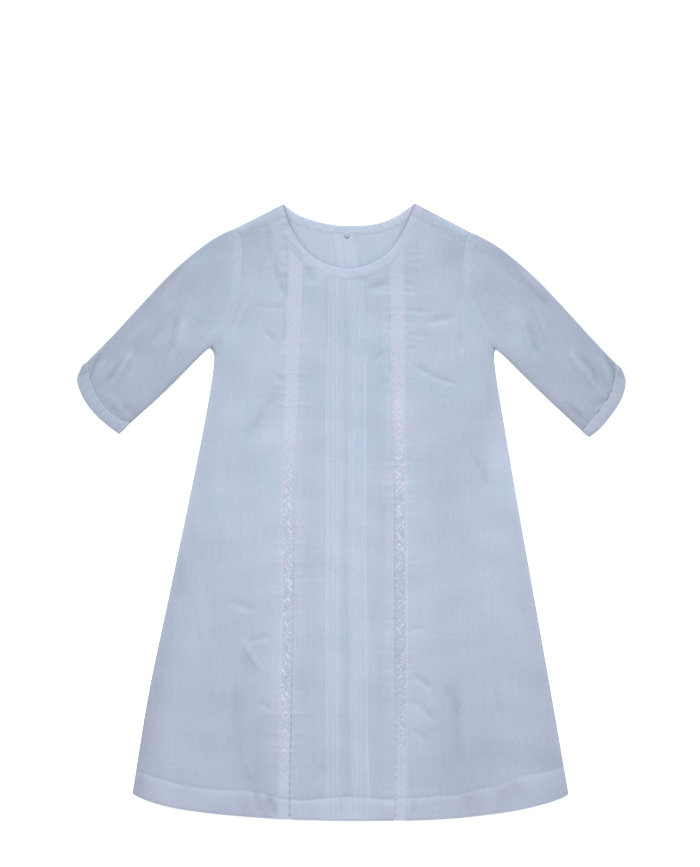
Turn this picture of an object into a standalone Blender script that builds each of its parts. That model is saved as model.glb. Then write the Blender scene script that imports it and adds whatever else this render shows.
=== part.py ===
"""Baby daygown in fine cotton, laid flat on its back.

X runs across the gown, Y from the hem up to the neck and Z up out of the cloth.
The origin is under the middle of the whole garment, on the surface that it lies on.
The back and the lower half of each sleeve lie on that surface. The front, its lace
insertions and the upper half of each sleeve lie on them with a small clearance.
Each sewn piece is a wall over a grid of points that blends between its four edges.
"""

import math

import bmesh
import bpy
import numpy as np

MM = 0.001

# Driving sizes, in metres
WALL = 1.1 * MM  # one layer of cloth
BOUND_WALL = 1.4 * MM  # doubled cloth: the bindings and the front hem
SEAM_GAP = 0.3 * MM  # clearance between pieces that are sewn together
HALF_GAP = SEAM_GAP / 2
HEM_DEPTH = 20.0 * MM  # of the turned-up hem, where it is even
FRONT_BAND = 9.5 * MM  # width of the binding round the front neckline
BACK_BAND = 8.0 * MM  # width of the binding round the back neckline
LACE_WIDTH = 13.0 * MM
TUCK_WIDTH = 2.2 * MM
FOLD_INSET = 1.4 * MM  # from a sleeve's folded edge to its hollow

# The back opening: a slit with a narrow underlap and a wider overlap, closed by one stud.
# It leans to the right on its way down from the neck.
OPENING_X = -9.9 * MM
OPENING_LEAN = 16.0 * MM
UNDERLAP = 6.3 * MM
OVERLAP = 12.6 * MM
OPENING_LENGTH = 99.0 * MM
STUD_RADIUS = 2.5 * MM
STUD_HEIGHT = 1.1 * MM
STUD_BEVEL = 0.3 * MM
STUD_FROM_EDGE = 6.3 * MM
STUD_BELOW_NECK = 9.0 * MM
STUD_SIDES = 24

# Heights of the upper layers above the surface
FRONT_Z = WALL + SEAM_GAP
TRIM_Z = FRONT_Z + WALL + SEAM_GAP
STUD_Z = WALL + SEAM_GAP

# The side seams from the hem to just below the underarm, in millimetres (height, left, right)
SIDE_SEAMS = (
    (-254.2, -197.1, 196.1),
    (-165.0, -182.6, 180.7),
    (-79.0, -164.7, 165.5),
    (7.0, -146.7, 150.2),
    (72.0, -133.6, 139.2),
    (115.0, -126.0, 132.0),
    (140.0, -123.3, 129.0),
)

# The hem bows down to its middle, and turns up more at the side seams
HEM_MIDDLE_X = 1.0 * MM
HEM_LOWEST_Y = -278.0 * MM
HEM_HALF_WIDTH = 196.5 * MM
HEM_BOW = 16.0 * MM
HEM_CORNER_RISE = 7.8 * MM
HEM_CORNER_POWER = 10

# Small drift of the hem's edge from that bow, as (x, change of y) in millimetres
HEM_DRIFT = (
    (10.0, 0.0), (30.0, -0.25), (50.0, -0.8), (70.0, -1.3),
    (100.0, -1.4), (130.0, -1.0), (155.0, -0.4), (172.0, 0.0),
)

# How deep the hem is turned up along the gown, as (x, depth) in millimetres
HEM_DEPTHS = (
    (-197.0, 23.4), (-168.0, 23.0), (-150.0, 21.5), (-120.0, 21.4), (-98.0, 23.0),
    (-78.0, 21.4), (-64.0, 18.4), (-44.0, 17.2), (-22.0, 19.8), (-8.0, 21.4),
    (12.0, 20.6), (31.0, 19.0), (50.0, 20.6), (64.0, 19.9), (76.0, 21.2),
    (96.0, 20.6), (112.0, 24.0), (130.0, 24.8), (150.0, 30.2), (183.0, 28.8),
    (196.0, 28.0),
)

# Where the lines of each half begin and end, as (x, y) in millimetres
UNDERARM = {"left": (-127.0, 148.2), "right": (130.6, 147.4)}
SHOULDER_TIP = {"left": (-102.0, 256.7), "right": (105.2, 253.4)}
NECK_POINT = {"left": (-60.6, 277.2), "right": (57.4, 278.0)}

# The lines between them, as (x, y) in millimetres: armhole seams go down from the
# shoulder, sleeve edges go out to the cuff, cuff lines go from the overarm to the underarm
ARMHOLE = {
    "left": ((-98.2, 243.0), (-98.8, 215.0), (-102.2, 192.0), (-115.6, 163.8)),
    "right": ((102.4, 241.0), (100.4, 214.0), (102.8, 188.0), (118.6, 161.0)),
}
OVERARM = {
    "left": (
        (-116.6, 250.4), (-134.1, 239.3), (-161.1, 216.6),
        (-188.1, 188.0), (-215.1, 158.6), (-237.4, 135.8),
    ),
    "right": (
        (118.2, 247.5), (136.4, 236.5), (163.5, 213.7),
        (190.5, 185.8), (217.3, 156.3), (238.7, 133.8),
    ),
}
UNDERSLEEVE = {
    "left": ((-134.0, 143.2), (-168.3, 108.2), (-199.4, 79.6)),
    "right": ((135.0, 144.0), (142.8, 136.6), (171.4, 107.8), (209.0, 72.2)),
}
CUFF_SEAM = {
    "left": ((-236.2, 124.0), (-233.2, 112.6), (-227.4, 101.0), (-218.0, 89.8), (-208.0, 82.4)),
    "right": ((238.2, 122.6), (234.4, 108.0), (227.0, 95.6), (218.4, 84.4)),
}
CUFF_EDGE = {
    "left": (
        (-242.2, 131.8), (-246.6, 120.6), (-244.2, 109.6), (-238.6, 98.6),
        (-229.8, 87.6), (-218.8, 77.8), (-208.8, 70.4),
    ),
    "right": (
        (243.2, 129.4), (246.6, 118.6), (244.8, 107.4), (239.6, 96.6),
        (230.9, 84.8), (222.0, 74.8), (213.9, 68.2),
    ),
}
FRONT_NECK = (
    (-53.6, 257.2), (-40.6, 236.6), (-24.0, 224.6), (-3.0, 219.6),
    (17.0, 223.8), (33.6, 234.4), (45.8, 252.8),
)
BACK_NECK = ((-44.4, 266.4), (-18.0, 259.2), (0.0, 258.2), (18.9, 259.2), (37.0, 264.6))

# The middle line of each lace insertion, going up from below the hem to above the neck
LACE_MIDDLE = {
    "left": (
        (-60.4, -300.0), (-59.6, -240.0), (-58.2, -169.0), (-56.3, -90.0),
        (-56.0, 47.0), (-51.0, 191.0), (-49.0, 262.0),
    ),
    "right": (
        (44.4, -300.0), (44.6, -240.0), (44.5, -169.0), (44.0, -90.0),
        (43.6, 47.0), (41.9, 191.0), (41.4, 262.0),
    ),
}

# Where each pintuck's middle is: x at the hem and x at the neck, in millimetres
TUCKS = (
    ("tuck_left_outer", -22.2, -22.0),
    ("tuck_left_second", -18.0, -17.7),
    ("tuck_left_third", -13.4, -13.3),
    ("tuck_left_inner", -9.0, -9.0),
    ("tuck_right_inner", 2.6, -1.3),
    ("tuck_right_third", 7.4, 4.2),
    ("tuck_right_second", 11.8, 8.6),
    ("tuck_right_outer", 16.2, 13.1),
)
TUCK_TOP_Y, TUCK_MIDDLE_Y, TUCK_BOTTOM_Y = 250.0, -40.0, -300.0

# The largest soft folds of the upper layer, in millimetres:
# x and y of one end, x and y of the other, height, half width
FOLDS = {
    "left_chest": (-80.0, 258.0, -73.0, 214.0, 1.5, 7.0),
    "left_armhole": (-90.0, 196.0, -102.0, 160.0, 1.2, 6.0),
    "right_chest": (62.0, 132.0, 96.0, 118.0, 1.2, 7.0),
    "right_armhole": (88.0, 196.0, 96.0, 166.0, 1.0, 7.0),
    "left_skirt_long": (-107.0, -112.0, -91.0, -256.0, 2.0, 10.0),
    "left_skirt_side": (-141.0, -42.0, -137.0, -126.0, 1.5, 9.0),
    "left_skirt_short": (-99.0, -122.0, -84.0, -148.0, 1.4, 8.0),
    "right_skirt_long": (93.0, -112.0, 96.0, -236.0, 1.8, 9.0),
    "right_skirt_outer": (131.0, -158.0, 139.0, -252.0, 1.5, 9.0),
    "right_skirt_short": (60.0, -142.0, 78.0, -184.0, 1.2, 7.0),
    "left_sleeve_elbow": (-148.0, 176.0, -159.0, 148.0, 1.8, 6.5),
    "left_sleeve_upper": (-157.0, 205.0, -190.0, 178.0, 1.2, 7.0),
    "left_sleeve_gather": (-218.0, 115.0, -201.0, 138.0, 1.4, 5.0),
    "right_sleeve_elbow": (161.0, 178.0, 163.0, 149.0, 1.8, 6.5),
    "right_sleeve_upper": (184.0, 161.0, 202.0, 130.0, 1.2, 6.5),
    "right_sleeve_gather": (221.0, 146.0, 232.0, 122.0, 1.2, 5.0),
}

# How many steps the edges are cut into. Pieces that meet at a seam share its steps.
CURVE_STEPS = 24
SIDE_STEPS = 20
ARMHOLE_STEPS = 10
NECK_SIDE_STEPS = 4
NECK_LACE_STEPS = 2
NECK_CENTRE_STEPS = 8
FRONT_STEPS = SIDE_STEPS + ARMHOLE_STEPS
PANEL_STEPS = 11
SLEEVE_STEPS = 13
CUFF_STEPS = 2
SHOULDER_STEPS = 2
BACK_NECK_STEPS = {"left": 4, "right": 5}
BACK_STEPS = 2 * SHOULDER_STEPS + sum(BACK_NECK_STEPS.values())
TUCK_STEPS = 14

# Each side's direction along X
SIDES = (("left", -1), ("right", 1))

# Colour as seen on a screen, from 0 to 1, and roughness
FINISHES = {
    "cotton": ((0.73, 0.77, 0.85), 0.92),
    "cotton_doubled": ((0.76, 0.79, 0.87), 0.92),
    "lace": ((0.80, 0.81, 0.88), 0.95),
    "stud": ((0.62, 0.65, 0.73), 0.45),
}

COLLECTION_NAME = "baby_daygown"


# ---------------------------------------------------------------- lines


def smooth_line(knots):
    """Many points on a smooth line through the knots, which are in millimetres."""
    knots = np.array(knots, float) * MM
    ends = np.vstack([2 * knots[0] - knots[1], knots, 2 * knots[-1] - knots[-2]])
    line = []
    for before, start, end, after in zip(ends, ends[1:], ends[2:], ends[3:]):
        for t in np.arange(CURVE_STEPS) / CURVE_STEPS:
            pull = t * (end - before) / 2
            bend = t * t * (before - 2.5 * start + 2 * end - after / 2)
            close = t**3 * (1.5 * (start - end) + (after - before) / 2)
            line.append(start + pull + bend + close)
    return np.array([*line, knots[-1]])


def lengths_along(line):
    steps = np.hypot(*np.diff(line, axis=0).T)
    return np.concatenate(([0.0], np.cumsum(steps)))


def share_where(line, rising, level):
    """The share of the line's length at which a value that rises along it reaches a level."""
    along = lengths_along(line)
    return float(np.interp(level, rising, along)) / along[-1]


def points_on(line, shares):
    """Points on the line at these shares of its length."""
    along = lengths_along(line)
    wanted = np.array(shares) * along[-1]
    return np.column_stack([np.interp(wanted, along, line[:, axis]) for axis in (0, 1)])


def stretch(line, start, end, steps):
    """Points in equal steps on the line, from one share of its length to another."""
    return points_on(line, np.linspace(start, end, steps + 1))


def straight(start, end, steps):
    share = np.linspace(0, 1, steps + 1)[:, None]
    return start + share * (end - start)


def moved(line, distance):
    """The line moved sideways, to its left as it runs."""
    along = np.gradient(line, axis=0)
    along /= np.hypot(*along.T)[:, None]
    return line + distance * np.column_stack([-along[:, 1], along[:, 0]])


def anchored(edge, start, end):
    """The edge shifted by an amount that changes evenly, so that it runs from start to end."""
    share = np.linspace(0, 1, len(edge))[:, None]
    return edge + (1 - share) * (start - edge[0]) + share * (end - edge[-1])


def patch(bottom, top, left, right):
    """A grid of points that blends between four edges. Left and right set its corners."""
    bottom = anchored(bottom, left[0], right[0])
    top = anchored(top, left[-1], right[-1])
    across = np.linspace(0, 1, len(bottom))[None, :, None]
    up = np.linspace(0, 1, len(left))[:, None, None]
    from_rows = (1 - up) * bottom[None] + up * top[None]
    from_sides = (1 - across) * left[:, None] + across * right[:, None]
    low_corners = (1 - across) * left[0] + across * right[0]
    high_corners = (1 - across) * left[-1] + across * right[-1]
    return from_rows + from_sides - (1 - up) * low_corners - up * high_corners


# ---------------------------------------------------------------- the garment's lines


def hem_y(x):
    share = (x - HEM_MIDDLE_X) / HEM_HALF_WIDTH
    bow = HEM_BOW * share**2 + HEM_CORNER_RISE * share**HEM_CORNER_POWER
    return HEM_LOWEST_Y + bow + np.interp(x / MM, *zip(*HEM_DRIFT)) * MM


def hem_stretch(x):
    """How much deeper than HEM_DEPTH the hem is turned up at x, as a factor."""
    return np.interp(x / MM, *zip(*HEM_DEPTHS)) * MM / HEM_DEPTH


def above_hem(line):
    """The level over the hem's edge, which reaches HEM_DEPTH at the hem's top."""
    return (line[:, 1] - hem_y(line[:, 0])) / hem_stretch(line[:, 0])


def hem_line(left, right, level, steps):
    """A line beside the hem's edge, raised to a level above it, between two edges' feet."""
    x = np.linspace(left[0], right[0], steps + 1)
    return np.column_stack([x, hem_y(x) + level * hem_stretch(x)])


def side_seam(side):
    """The side seam from the hem's edge up to the bend just below the underarm."""
    column = {"left": 1, "right": 2}[side]
    return smooth_line([(row[column], row[0]) for row in SIDE_SEAMS])


def armhole_seam(side):
    """The armhole seam from the shoulder down to the underarm."""
    return smooth_line([SHOULDER_TIP[side], *ARMHOLE[side], UNDERARM[side]])


def neck_seam(edge, width):
    """Where a neck binding meets the panels, ending on the two shoulder lines."""
    ends = []
    for side, _ in SIDES:
        neck = np.array(NECK_POINT[side]) * MM
        slope = np.array(SHOULDER_TIP[side]) * MM - neck
        ends.append(neck + slope * width / np.hypot(*slope))
    seam = moved(edge, -width)
    kept = (seam[:, 0] > ends[0][0]) & (seam[:, 0] < ends[1][0])
    kept &= seam[:, 1] < min(ends[0][1], ends[1][1]) - WALL
    return np.vstack([ends[0], seam[kept], ends[1]])


FRONT_EDGE = smooth_line([NECK_POINT["left"], *FRONT_NECK, NECK_POINT["right"]])
BACK_EDGE = smooth_line([NECK_POINT["left"], *BACK_NECK, NECK_POINT["right"]])
FRONT_SEAM = neck_seam(FRONT_EDGE, FRONT_BAND)
BACK_SEAM = neck_seam(BACK_EDGE, BACK_BAND)
PANEL_NECK = moved(FRONT_SEAM, -HALF_GAP)
BACK_PANEL_NECK = moved(BACK_SEAM, -HALF_GAP)


def lace_line(side, edge, gap):
    """The seam on one edge of a lace insertion, -1 or 1, with half a gap added towards gap."""
    shift = edge * LACE_WIDTH / 2 + gap * HALF_GAP
    return smooth_line(LACE_MIDDLE[side]) + np.array([shift, 0.0])


def neck_share(line):
    """The share of the panels' neck edge at which a rising line reaches it."""
    over = line[:, 1] - np.interp(line[:, 0], PANEL_NECK[:, 0], PANEL_NECK[:, 1])
    top = stretch(line, 0, share_where(line, over, 0.0), 1)[-1]
    return share_where(PANEL_NECK, PANEL_NECK[:, 0], top[0])


def hem_to_neck(line, steps, level=HEM_DEPTH + HALF_GAP):
    """A rising line cut off at a level above the hem and at the neck seam."""
    over = line[:, 1] - np.interp(line[:, 0], PANEL_NECK[:, 0], PANEL_NECK[:, 1])
    low = share_where(line, above_hem(line), level)
    return stretch(line, low, share_where(line, over, 0.0), steps)


def within_hem(line):
    """The stretch of a rising line that lies in the turned-up hem."""
    low = share_where(line, above_hem(line), 0.0)
    high = share_where(line, above_hem(line), HEM_DEPTH - HALF_GAP)
    return stretch(line, low, high, 1)


def outer_edge(side, sign):
    """A panel's outer edge: up the side seam from the hem's fold and round the armhole."""
    seam = side_seam(side)
    low = share_where(seam, above_hem(seam), HEM_DEPTH + HALF_GAP)
    armhole = stretch(armhole_seam(side), 1, 0, ARMHOLE_STEPS)
    return np.vstack([stretch(seam, low, 1, SIDE_STEPS - 1), moved(armhole, sign * HALF_GAP)])


# ---------------------------------------------------------------- heights


def lift(x, y):
    """How far the folds raise the upper layer at a point."""
    total = 0.0
    for start_x, start_y, end_x, end_y, height, half_width in FOLDS.values():
        length = math.hypot(end_x - start_x, end_y - start_y)
        along_x = (end_x - start_x) / length
        along_y = (end_y - start_y) / length
        from_x = x / MM - start_x
        from_y = y / MM - start_y
        reach = from_x * along_x + from_y * along_y
        aside = from_x * along_y - from_y * along_x
        past = max(0.0, -reach, reach - length)
        total += height * math.exp(-(aside**2 + past**2) / half_width**2)
    return total * MM


def level_at(z):
    return lambda x, y: z


def folded_at(z):
    return lambda x, y: z + lift(x, y)


# ---------------------------------------------------------------- solids


def screen_to_linear(value):
    return value / 12.92 if value <= 0.04045 else ((value + 0.055) / 1.055) ** 2.4


def finish(name):
    """The Principled material of this name, made the first time that it is asked for."""
    if name in bpy.data.materials:
        return bpy.data.materials[name]
    colour, roughness = FINISHES[name]
    material = bpy.data.materials.new(name)
    material.use_nodes = True
    shader = material.node_tree.nodes["Principled BSDF"]
    shader.inputs["Base Color"].default_value = (*map(screen_to_linear, colour), 1)
    shader.inputs["Roughness"].default_value = roughness
    shader.inputs["Metallic"].default_value = 0.0
    return material


def wall_mesh(grid, underside, thickness):
    """A grid laid on one height function and extruded up by another, as one closed wall."""
    rows, columns = grid.shape[:2]
    bm = bmesh.new()
    bmesh.ops.create_grid(bm, x_segments=columns - 1, y_segments=rows - 1, size=1)
    for vertex, (x, y) in zip(bm.verts, grid.reshape(-1, 2)):
        vertex.co = (x, y, underside(x, y))
    for made in bmesh.ops.extrude_face_region(bm, geom=bm.faces[:])["geom"]:
        if isinstance(made, bmesh.types.BMVert):
            made.co.z += thickness(made.co.x, made.co.y)
    bmesh.ops.recalc_face_normals(bm, faces=bm.faces)
    return bm


class Garment:
    """The collections, the parent empty and the ways of adding a piece to them."""

    def __init__(self):
        self.pieces = bpy.data.collections.new(COLLECTION_NAME)
        self.cutters = bpy.data.collections.new("cutters")
        for collection in (self.pieces, self.cutters):
            bpy.context.scene.collection.children.link(collection)
        self.root = bpy.data.objects.new(COLLECTION_NAME, None)
        self.pieces.objects.link(self.root)

    def add(self, name, bm, material):
        """A piece of the garment with its material."""
        mesh = bpy.data.meshes.new(name)
        bm.to_mesh(mesh)
        bm.free()
        mesh.materials.append(finish(material))
        piece = bpy.data.objects.new(name, mesh)
        piece.parent = self.root
        self.pieces.objects.link(piece)
        return piece

    def cut(self, piece, bm):
        """Takes a cutter's shape out of a piece."""
        mesh = bpy.data.meshes.new(piece.name + "_cutter")
        bm.to_mesh(mesh)
        bm.free()
        cutter = bpy.data.objects.new(mesh.name, mesh)
        cutter.hide_render = True
        cutter.display_type = "WIRE"
        self.cutters.objects.link(cutter)
        boolean = piece.modifiers.new("Cut", "BOOLEAN")
        boolean.operation = "DIFFERENCE"
        boolean.solver = "EXACT"
        boolean.object = cutter

    def lower_wall(self, name, grid, material="cotton"):
        """A flat piece that lies on the surface."""
        return self.add(name, wall_mesh(grid, level_at(0.0), level_at(WALL)), material)

    def upper_wall(self, name, grid, thickness=WALL, material="cotton", z=FRONT_Z):
        """A piece of the upper layer, which follows its folds."""
        return self.add(name, wall_mesh(grid, folded_at(z), level_at(thickness)), material)

    def flat_tube(self, name, grid, wall, material):
        """A tube pressed flat: closed along its two folded edges and open at both ends."""
        self.add(name, tube_mesh(grid, wall), material)


def tube_mesh(grid, wall):
    """A ring of outer and a ring of inner points for each row of the grid, joined into a tube."""
    inside = grid.copy()
    for edge, beside in ((0, 1), (-1, -2)):
        inward = grid[:, beside] - grid[:, edge]
        inside[:, edge] += FOLD_INSET * inward / np.hypot(*inward.T)[:, None]
    bm = bmesh.new()
    top = 2 * wall + SEAM_GAP
    outer = [ring_of_points(bm, row, 0.0, top) for row in grid]
    inner = [ring_of_points(bm, row, wall, wall + SEAM_GAP) for row in inside]
    bands = [*zip(outer, outer[1:]), *zip(inner, inner[1:])]
    bands += [(outer[0], inner[0]), (outer[-1], inner[-1])]
    for ring, next_ring in bands:
        for at in range(len(ring)):
            bm.faces.new((ring[at - 1], ring[at], next_ring[at], next_ring[at - 1]))
    bmesh.ops.recalc_face_normals(bm, faces=bm.faces)
    return bm


def ring_of_points(bm, row, low, high):
    """Points along a row at a low level, and back along it at a high one that follows the folds."""
    there = [bm.verts.new((x, y, low)) for x, y in row]
    back = [bm.verts.new((x, y, high + lift(x, y))) for x, y in row[::-1]]
    return there + back


# ---------------------------------------------------------------- the front


def add_front_sides(gown):
    """The plain panel on each side of the front, from the hem's fold to the shoulder."""
    for side, sign in SIDES:
        outer = outer_edge(side, sign)
        line = lace_line(side, sign, sign)
        lace = hem_to_neck(line, FRONT_STEPS - NECK_SIDE_STEPS)
        shoulder_end = {"left": 0.0, "right": 1.0}[side]
        neck = stretch(PANEL_NECK, neck_share(line), shoulder_end, NECK_SIDE_STEPS)
        inner = np.vstack([lace[:-1], neck])
        hem = hem_line(outer[0], inner[0], HEM_DEPTH + HALF_GAP, PANEL_STEPS)
        shoulder = straight(outer[-1], inner[-1], PANEL_STEPS)
        gown.upper_wall("front_side_" + side, patch(hem, shoulder, outer, inner))


def add_front_centre(gown):
    """The tucked panel between the two lace insertions."""
    left_line = lace_line("left", 1, 1)
    right_line = lace_line("right", -1, -1)
    left = hem_to_neck(left_line, FRONT_STEPS)
    right = hem_to_neck(right_line, FRONT_STEPS)
    neck = stretch(PANEL_NECK, neck_share(left_line), neck_share(right_line), NECK_CENTRE_STEPS)
    hem = hem_line(left[0], right[0], HEM_DEPTH + HALF_GAP, NECK_CENTRE_STEPS)
    gown.upper_wall("front_centre", patch(hem, neck, left, right))


def add_lace(gown):
    """The two lace insertions, which run from the neck binding to the hem's very edge."""
    for side, _ in SIDES:
        left_line = lace_line(side, -1, 1)
        right_line = lace_line(side, 1, -1)
        left = hem_to_neck(left_line, FRONT_STEPS, 0.0)
        right = hem_to_neck(right_line, FRONT_STEPS, 0.0)
        shares = neck_share(left_line), neck_share(right_line)
        neck = stretch(PANEL_NECK, *shares, NECK_LACE_STEPS)
        hem = hem_line(left[0], right[0], 0.0, NECK_LACE_STEPS)
        grid = patch(hem, neck, left, right)
        gown.upper_wall("lace_insertion_" + side, grid, material="lace")


def add_tucks(gown):
    """Eight pintucks that lie on the centre panel, in two groups of four."""
    for name, hem_x, neck_x in TUCKS:
        knots = ((hem_x, TUCK_BOTTOM_Y), (neck_x, TUCK_MIDDLE_Y), (neck_x, TUCK_TOP_Y))
        middle = smooth_line(knots)
        half_width = np.array([TUCK_WIDTH / 2, 0.0])
        left = hem_to_neck(middle - half_width, TUCK_STEPS)
        right = hem_to_neck(middle + half_width, TUCK_STEPS)
        ends = straight(left[0], right[0], 1), straight(left[-1], right[-1], 1)
        gown.upper_wall(name, patch(*ends, left, right), z=TRIM_Z)


def add_front_hem(gown):
    """The turned-up hem of the centre panel and of each side panel."""
    edges = {
        "left": (side_seam("left"), lace_line("left", -1, -1)),
        "centre": (lace_line("left", 1, 1), lace_line("right", -1, -1)),
        "right": (lace_line("right", 1, 1), side_seam("right")),
    }
    for name, (left_line, right_line) in edges.items():
        left = within_hem(left_line)
        right = within_hem(right_line)
        low = hem_line(left[0], right[0], 0.0, PANEL_STEPS)
        high = hem_line(left[1], right[1], HEM_DEPTH - HALF_GAP, PANEL_STEPS)
        grid = patch(low, high, left, right)
        gown.upper_wall("hem_front_" + name, grid, BOUND_WALL, "cotton_doubled")


def add_front_band(gown):
    """The binding round the front neckline. Its seam shares its steps with the panels."""
    lines = [lace_line("left", -1, 0), lace_line("left", 1, 0)]
    lines += [lace_line("right", -1, 0), lace_line("right", 1, 0)]
    shares = [0.0, *map(neck_share, lines), 1.0]
    steps = [NECK_SIDE_STEPS, NECK_LACE_STEPS, NECK_CENTRE_STEPS, NECK_LACE_STEPS, NECK_SIDE_STEPS]
    spread = [np.linspace(a, b, n + 1)[:-1] for a, b, n in zip(shares, shares[1:], steps)]
    spread = np.concatenate([*spread, [1.0]])
    inner = points_on(moved(FRONT_SEAM, HALF_GAP), spread)
    outer = points_on(FRONT_EDGE, spread)
    left = straight(inner[0], outer[0], 1)
    right = straight(inner[-1], outer[-1], 1)
    grid = patch(inner, outer, left, right)
    gown.upper_wall("neck_binding_front", grid, BOUND_WALL, "cotton_doubled")


# ---------------------------------------------------------------- the back


def add_back(gown):
    """The back, cut in one, with a notch for the opening's two strips."""
    left = outer_edge("left", -1)
    right = outer_edge("right", 1)
    left_shoulder = straight(left[-1], BACK_PANEL_NECK[0], SHOULDER_STEPS)
    right_shoulder = straight(BACK_PANEL_NECK[-1], right[-1], SHOULDER_STEPS)
    neck = [points_on(BACK_PANEL_NECK, back_neck_shares(side)) for side, _ in SIDES]
    top = np.vstack([left_shoulder[:-1], neck[0][:-1], neck[1], right_shoulder[1:]])
    hem = hem_line(left[0], right[0], HEM_DEPTH + HALF_GAP, BACK_STEPS)
    back = gown.lower_wall("back", patch(hem, top, left, right))
    low_x, high_x = OPENING_X - UNDERLAP - SEAM_GAP, OPENING_X + OVERLAP + SEAM_GAP
    low_y, high_y = opening_foot_y() - SEAM_GAP, BACK_EDGE[:, 1].max()
    notch = bmesh.new()
    bmesh.ops.create_cube(notch, size=1)
    size = (high_x - low_x, high_y - low_y, 4 * WALL)
    bmesh.ops.scale(notch, vec=size, verts=notch.verts)
    middle = ((low_x + high_x) / 2, (low_y + high_y) / 2, 0.0)
    bmesh.ops.translate(notch, vec=middle, verts=notch.verts)
    for corner in notch.verts:
        corner.co.x += opening_shift(corner.co.y)
    gown.cut(back, notch)


def back_neck_shares(side):
    """Shares of the back neck's length on one side of the opening, in equal steps."""
    middle = share_where(BACK_SEAM, BACK_SEAM[:, 0], OPENING_X)
    ends = {"left": (0.0, middle), "right": (middle, 1.0)}[side]
    return np.linspace(*ends, BACK_NECK_STEPS[side] + 1)


def back_seam_y(x):
    return float(np.interp(x, BACK_PANEL_NECK[:, 0], BACK_PANEL_NECK[:, 1]))


def opening_foot_y():
    return back_seam_y(OPENING_X) - OPENING_LENGTH


def opening_shift(y):
    """How far to the right the leaning slit has moved at a height."""
    return OPENING_LEAN * (back_seam_y(OPENING_X) - y) / OPENING_LENGTH


def strip_top(x):
    """Where a leaning strip's edge meets the neck seam."""
    y = back_seam_y(x)
    return np.array([x + opening_shift(y), y])


def strip_foot(x):
    """Where a leaning strip's edge ends, at the foot of the slit."""
    y = opening_foot_y()
    return np.array([x + opening_shift(y), y])


def add_opening(gown):
    """The two faced edges of the slit: the underlap and the overlap."""
    strips = {
        "opening_underlap": (OPENING_X - UNDERLAP, OPENING_X - HALF_GAP),
        "opening_overlap": (OPENING_X + HALF_GAP, OPENING_X + OVERLAP),
    }
    for name, edges in strips.items():
        left, right = (straight(strip_foot(x), strip_top(x), 1) for x in edges)
        ends = straight(left[0], right[0], 1), straight(left[-1], right[-1], 1)
        gown.lower_wall(name, patch(*ends, left, right), "cotton_doubled")


def add_back_bands(gown):
    """The binding round the back neckline, in two halves that part at the opening."""
    for side, sign in SIDES:
        inner = points_on(moved(BACK_SEAM, HALF_GAP), back_neck_shares(side))
        outer = points_on(BACK_EDGE, back_neck_shares(side))
        at_opening = {"left": -1, "right": 0}[side]
        inner[at_opening, 0] = OPENING_X + sign * HALF_GAP
        outer[at_opening, 0] = OPENING_X + sign * HALF_GAP
        left = straight(inner[0], outer[0], 1)
        right = straight(inner[-1], outer[-1], 1)
        grid = patch(inner, outer, left, right)
        gown.lower_wall("neck_binding_back_" + side, grid, "cotton_doubled")


def add_back_hem(gown):
    left = within_hem(side_seam("left"))
    right = within_hem(side_seam("right"))
    low = hem_line(left[0], right[0], 0.0, BACK_STEPS)
    high = hem_line(left[1], right[1], HEM_DEPTH - HALF_GAP, BACK_STEPS)
    gown.lower_wall("hem_back", patch(low, high, left, right), "cotton_doubled")


def add_stud(gown):
    """The press stud that closes the neck, on the overlap just under the binding's edge."""
    x = OPENING_X + STUD_FROM_EDGE
    y = float(np.interp(x, BACK_EDGE[:, 0], BACK_EDGE[:, 1])) - STUD_BELOW_NECK
    bm = bmesh.new()
    bmesh.ops.create_cone(
        bm, cap_ends=True, segments=STUD_SIDES, radius1=STUD_RADIUS, radius2=STUD_RADIUS,
        depth=STUD_HEIGHT,
    )
    stud = gown.add("neck_stud", bm, "stud")
    stud.location = (x, y, STUD_Z + STUD_HEIGHT / 2)
    bevel = stud.modifiers.new("Rounded rim", "BEVEL")
    bevel.width = STUD_BEVEL
    bevel.segments = 2
    stud.data.shade_smooth()
    stud.data.set_sharp_from_angle(angle=math.radians(40))


# ---------------------------------------------------------------- the sleeves


def add_sleeves(gown):
    """Set-in sleeves and their bound cuffs, each a tube pressed flat."""
    for side, sign in SIDES:
        cuff_seam = smooth_line([OVERARM[side][-1], *CUFF_SEAM[side], UNDERSLEEVE[side][-1]])
        overarm = smooth_line([SHOULDER_TIP[side], *OVERARM[side]])
        underarm = smooth_line([UNDERARM[side], *UNDERSLEEVE[side]])
        seam = stretch(cuff_seam, 0, 1, ARMHOLE_STEPS)
        low = moved(seam, -sign * HALF_GAP)
        high = moved(stretch(armhole_seam(side), 0, 1, ARMHOLE_STEPS), sign * HALF_GAP)
        over = anchored(stretch(overarm, 1, 0, SLEEVE_STEPS), low[0], high[0])
        under = anchored(stretch(underarm, 1, 0, SLEEVE_STEPS), low[-1], high[-1])
        gown.flat_tube("sleeve_" + side, patch(low, high, over, under), WALL, "cotton")

        inner = moved(seam, sign * HALF_GAP)
        outer = stretch(smooth_line(CUFF_EDGE[side]), 0, 1, ARMHOLE_STEPS)
        over = straight(outer[0], inner[0], CUFF_STEPS)
        under = straight(outer[-1], inner[-1], CUFF_STEPS)
        grid = patch(outer, inner, over, under)
        gown.flat_tube("cuff_" + side, grid, BOUND_WALL, "cotton_doubled")


def main():
    for thing in list(bpy.data.objects):
        bpy.data.objects.remove(thing, do_unlink=True)
    gown = Garment()
    add_back(gown)
    add_back_hem(gown)
    add_opening(gown)
    add_back_bands(gown)
    add_stud(gown)
    add_sleeves(gown)
    add_front_sides(gown)
    add_lace(gown)
    add_front_centre(gown)
    add_front_hem(gown)
    add_front_band(gown)
    add_tucks(gown)


main()
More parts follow.
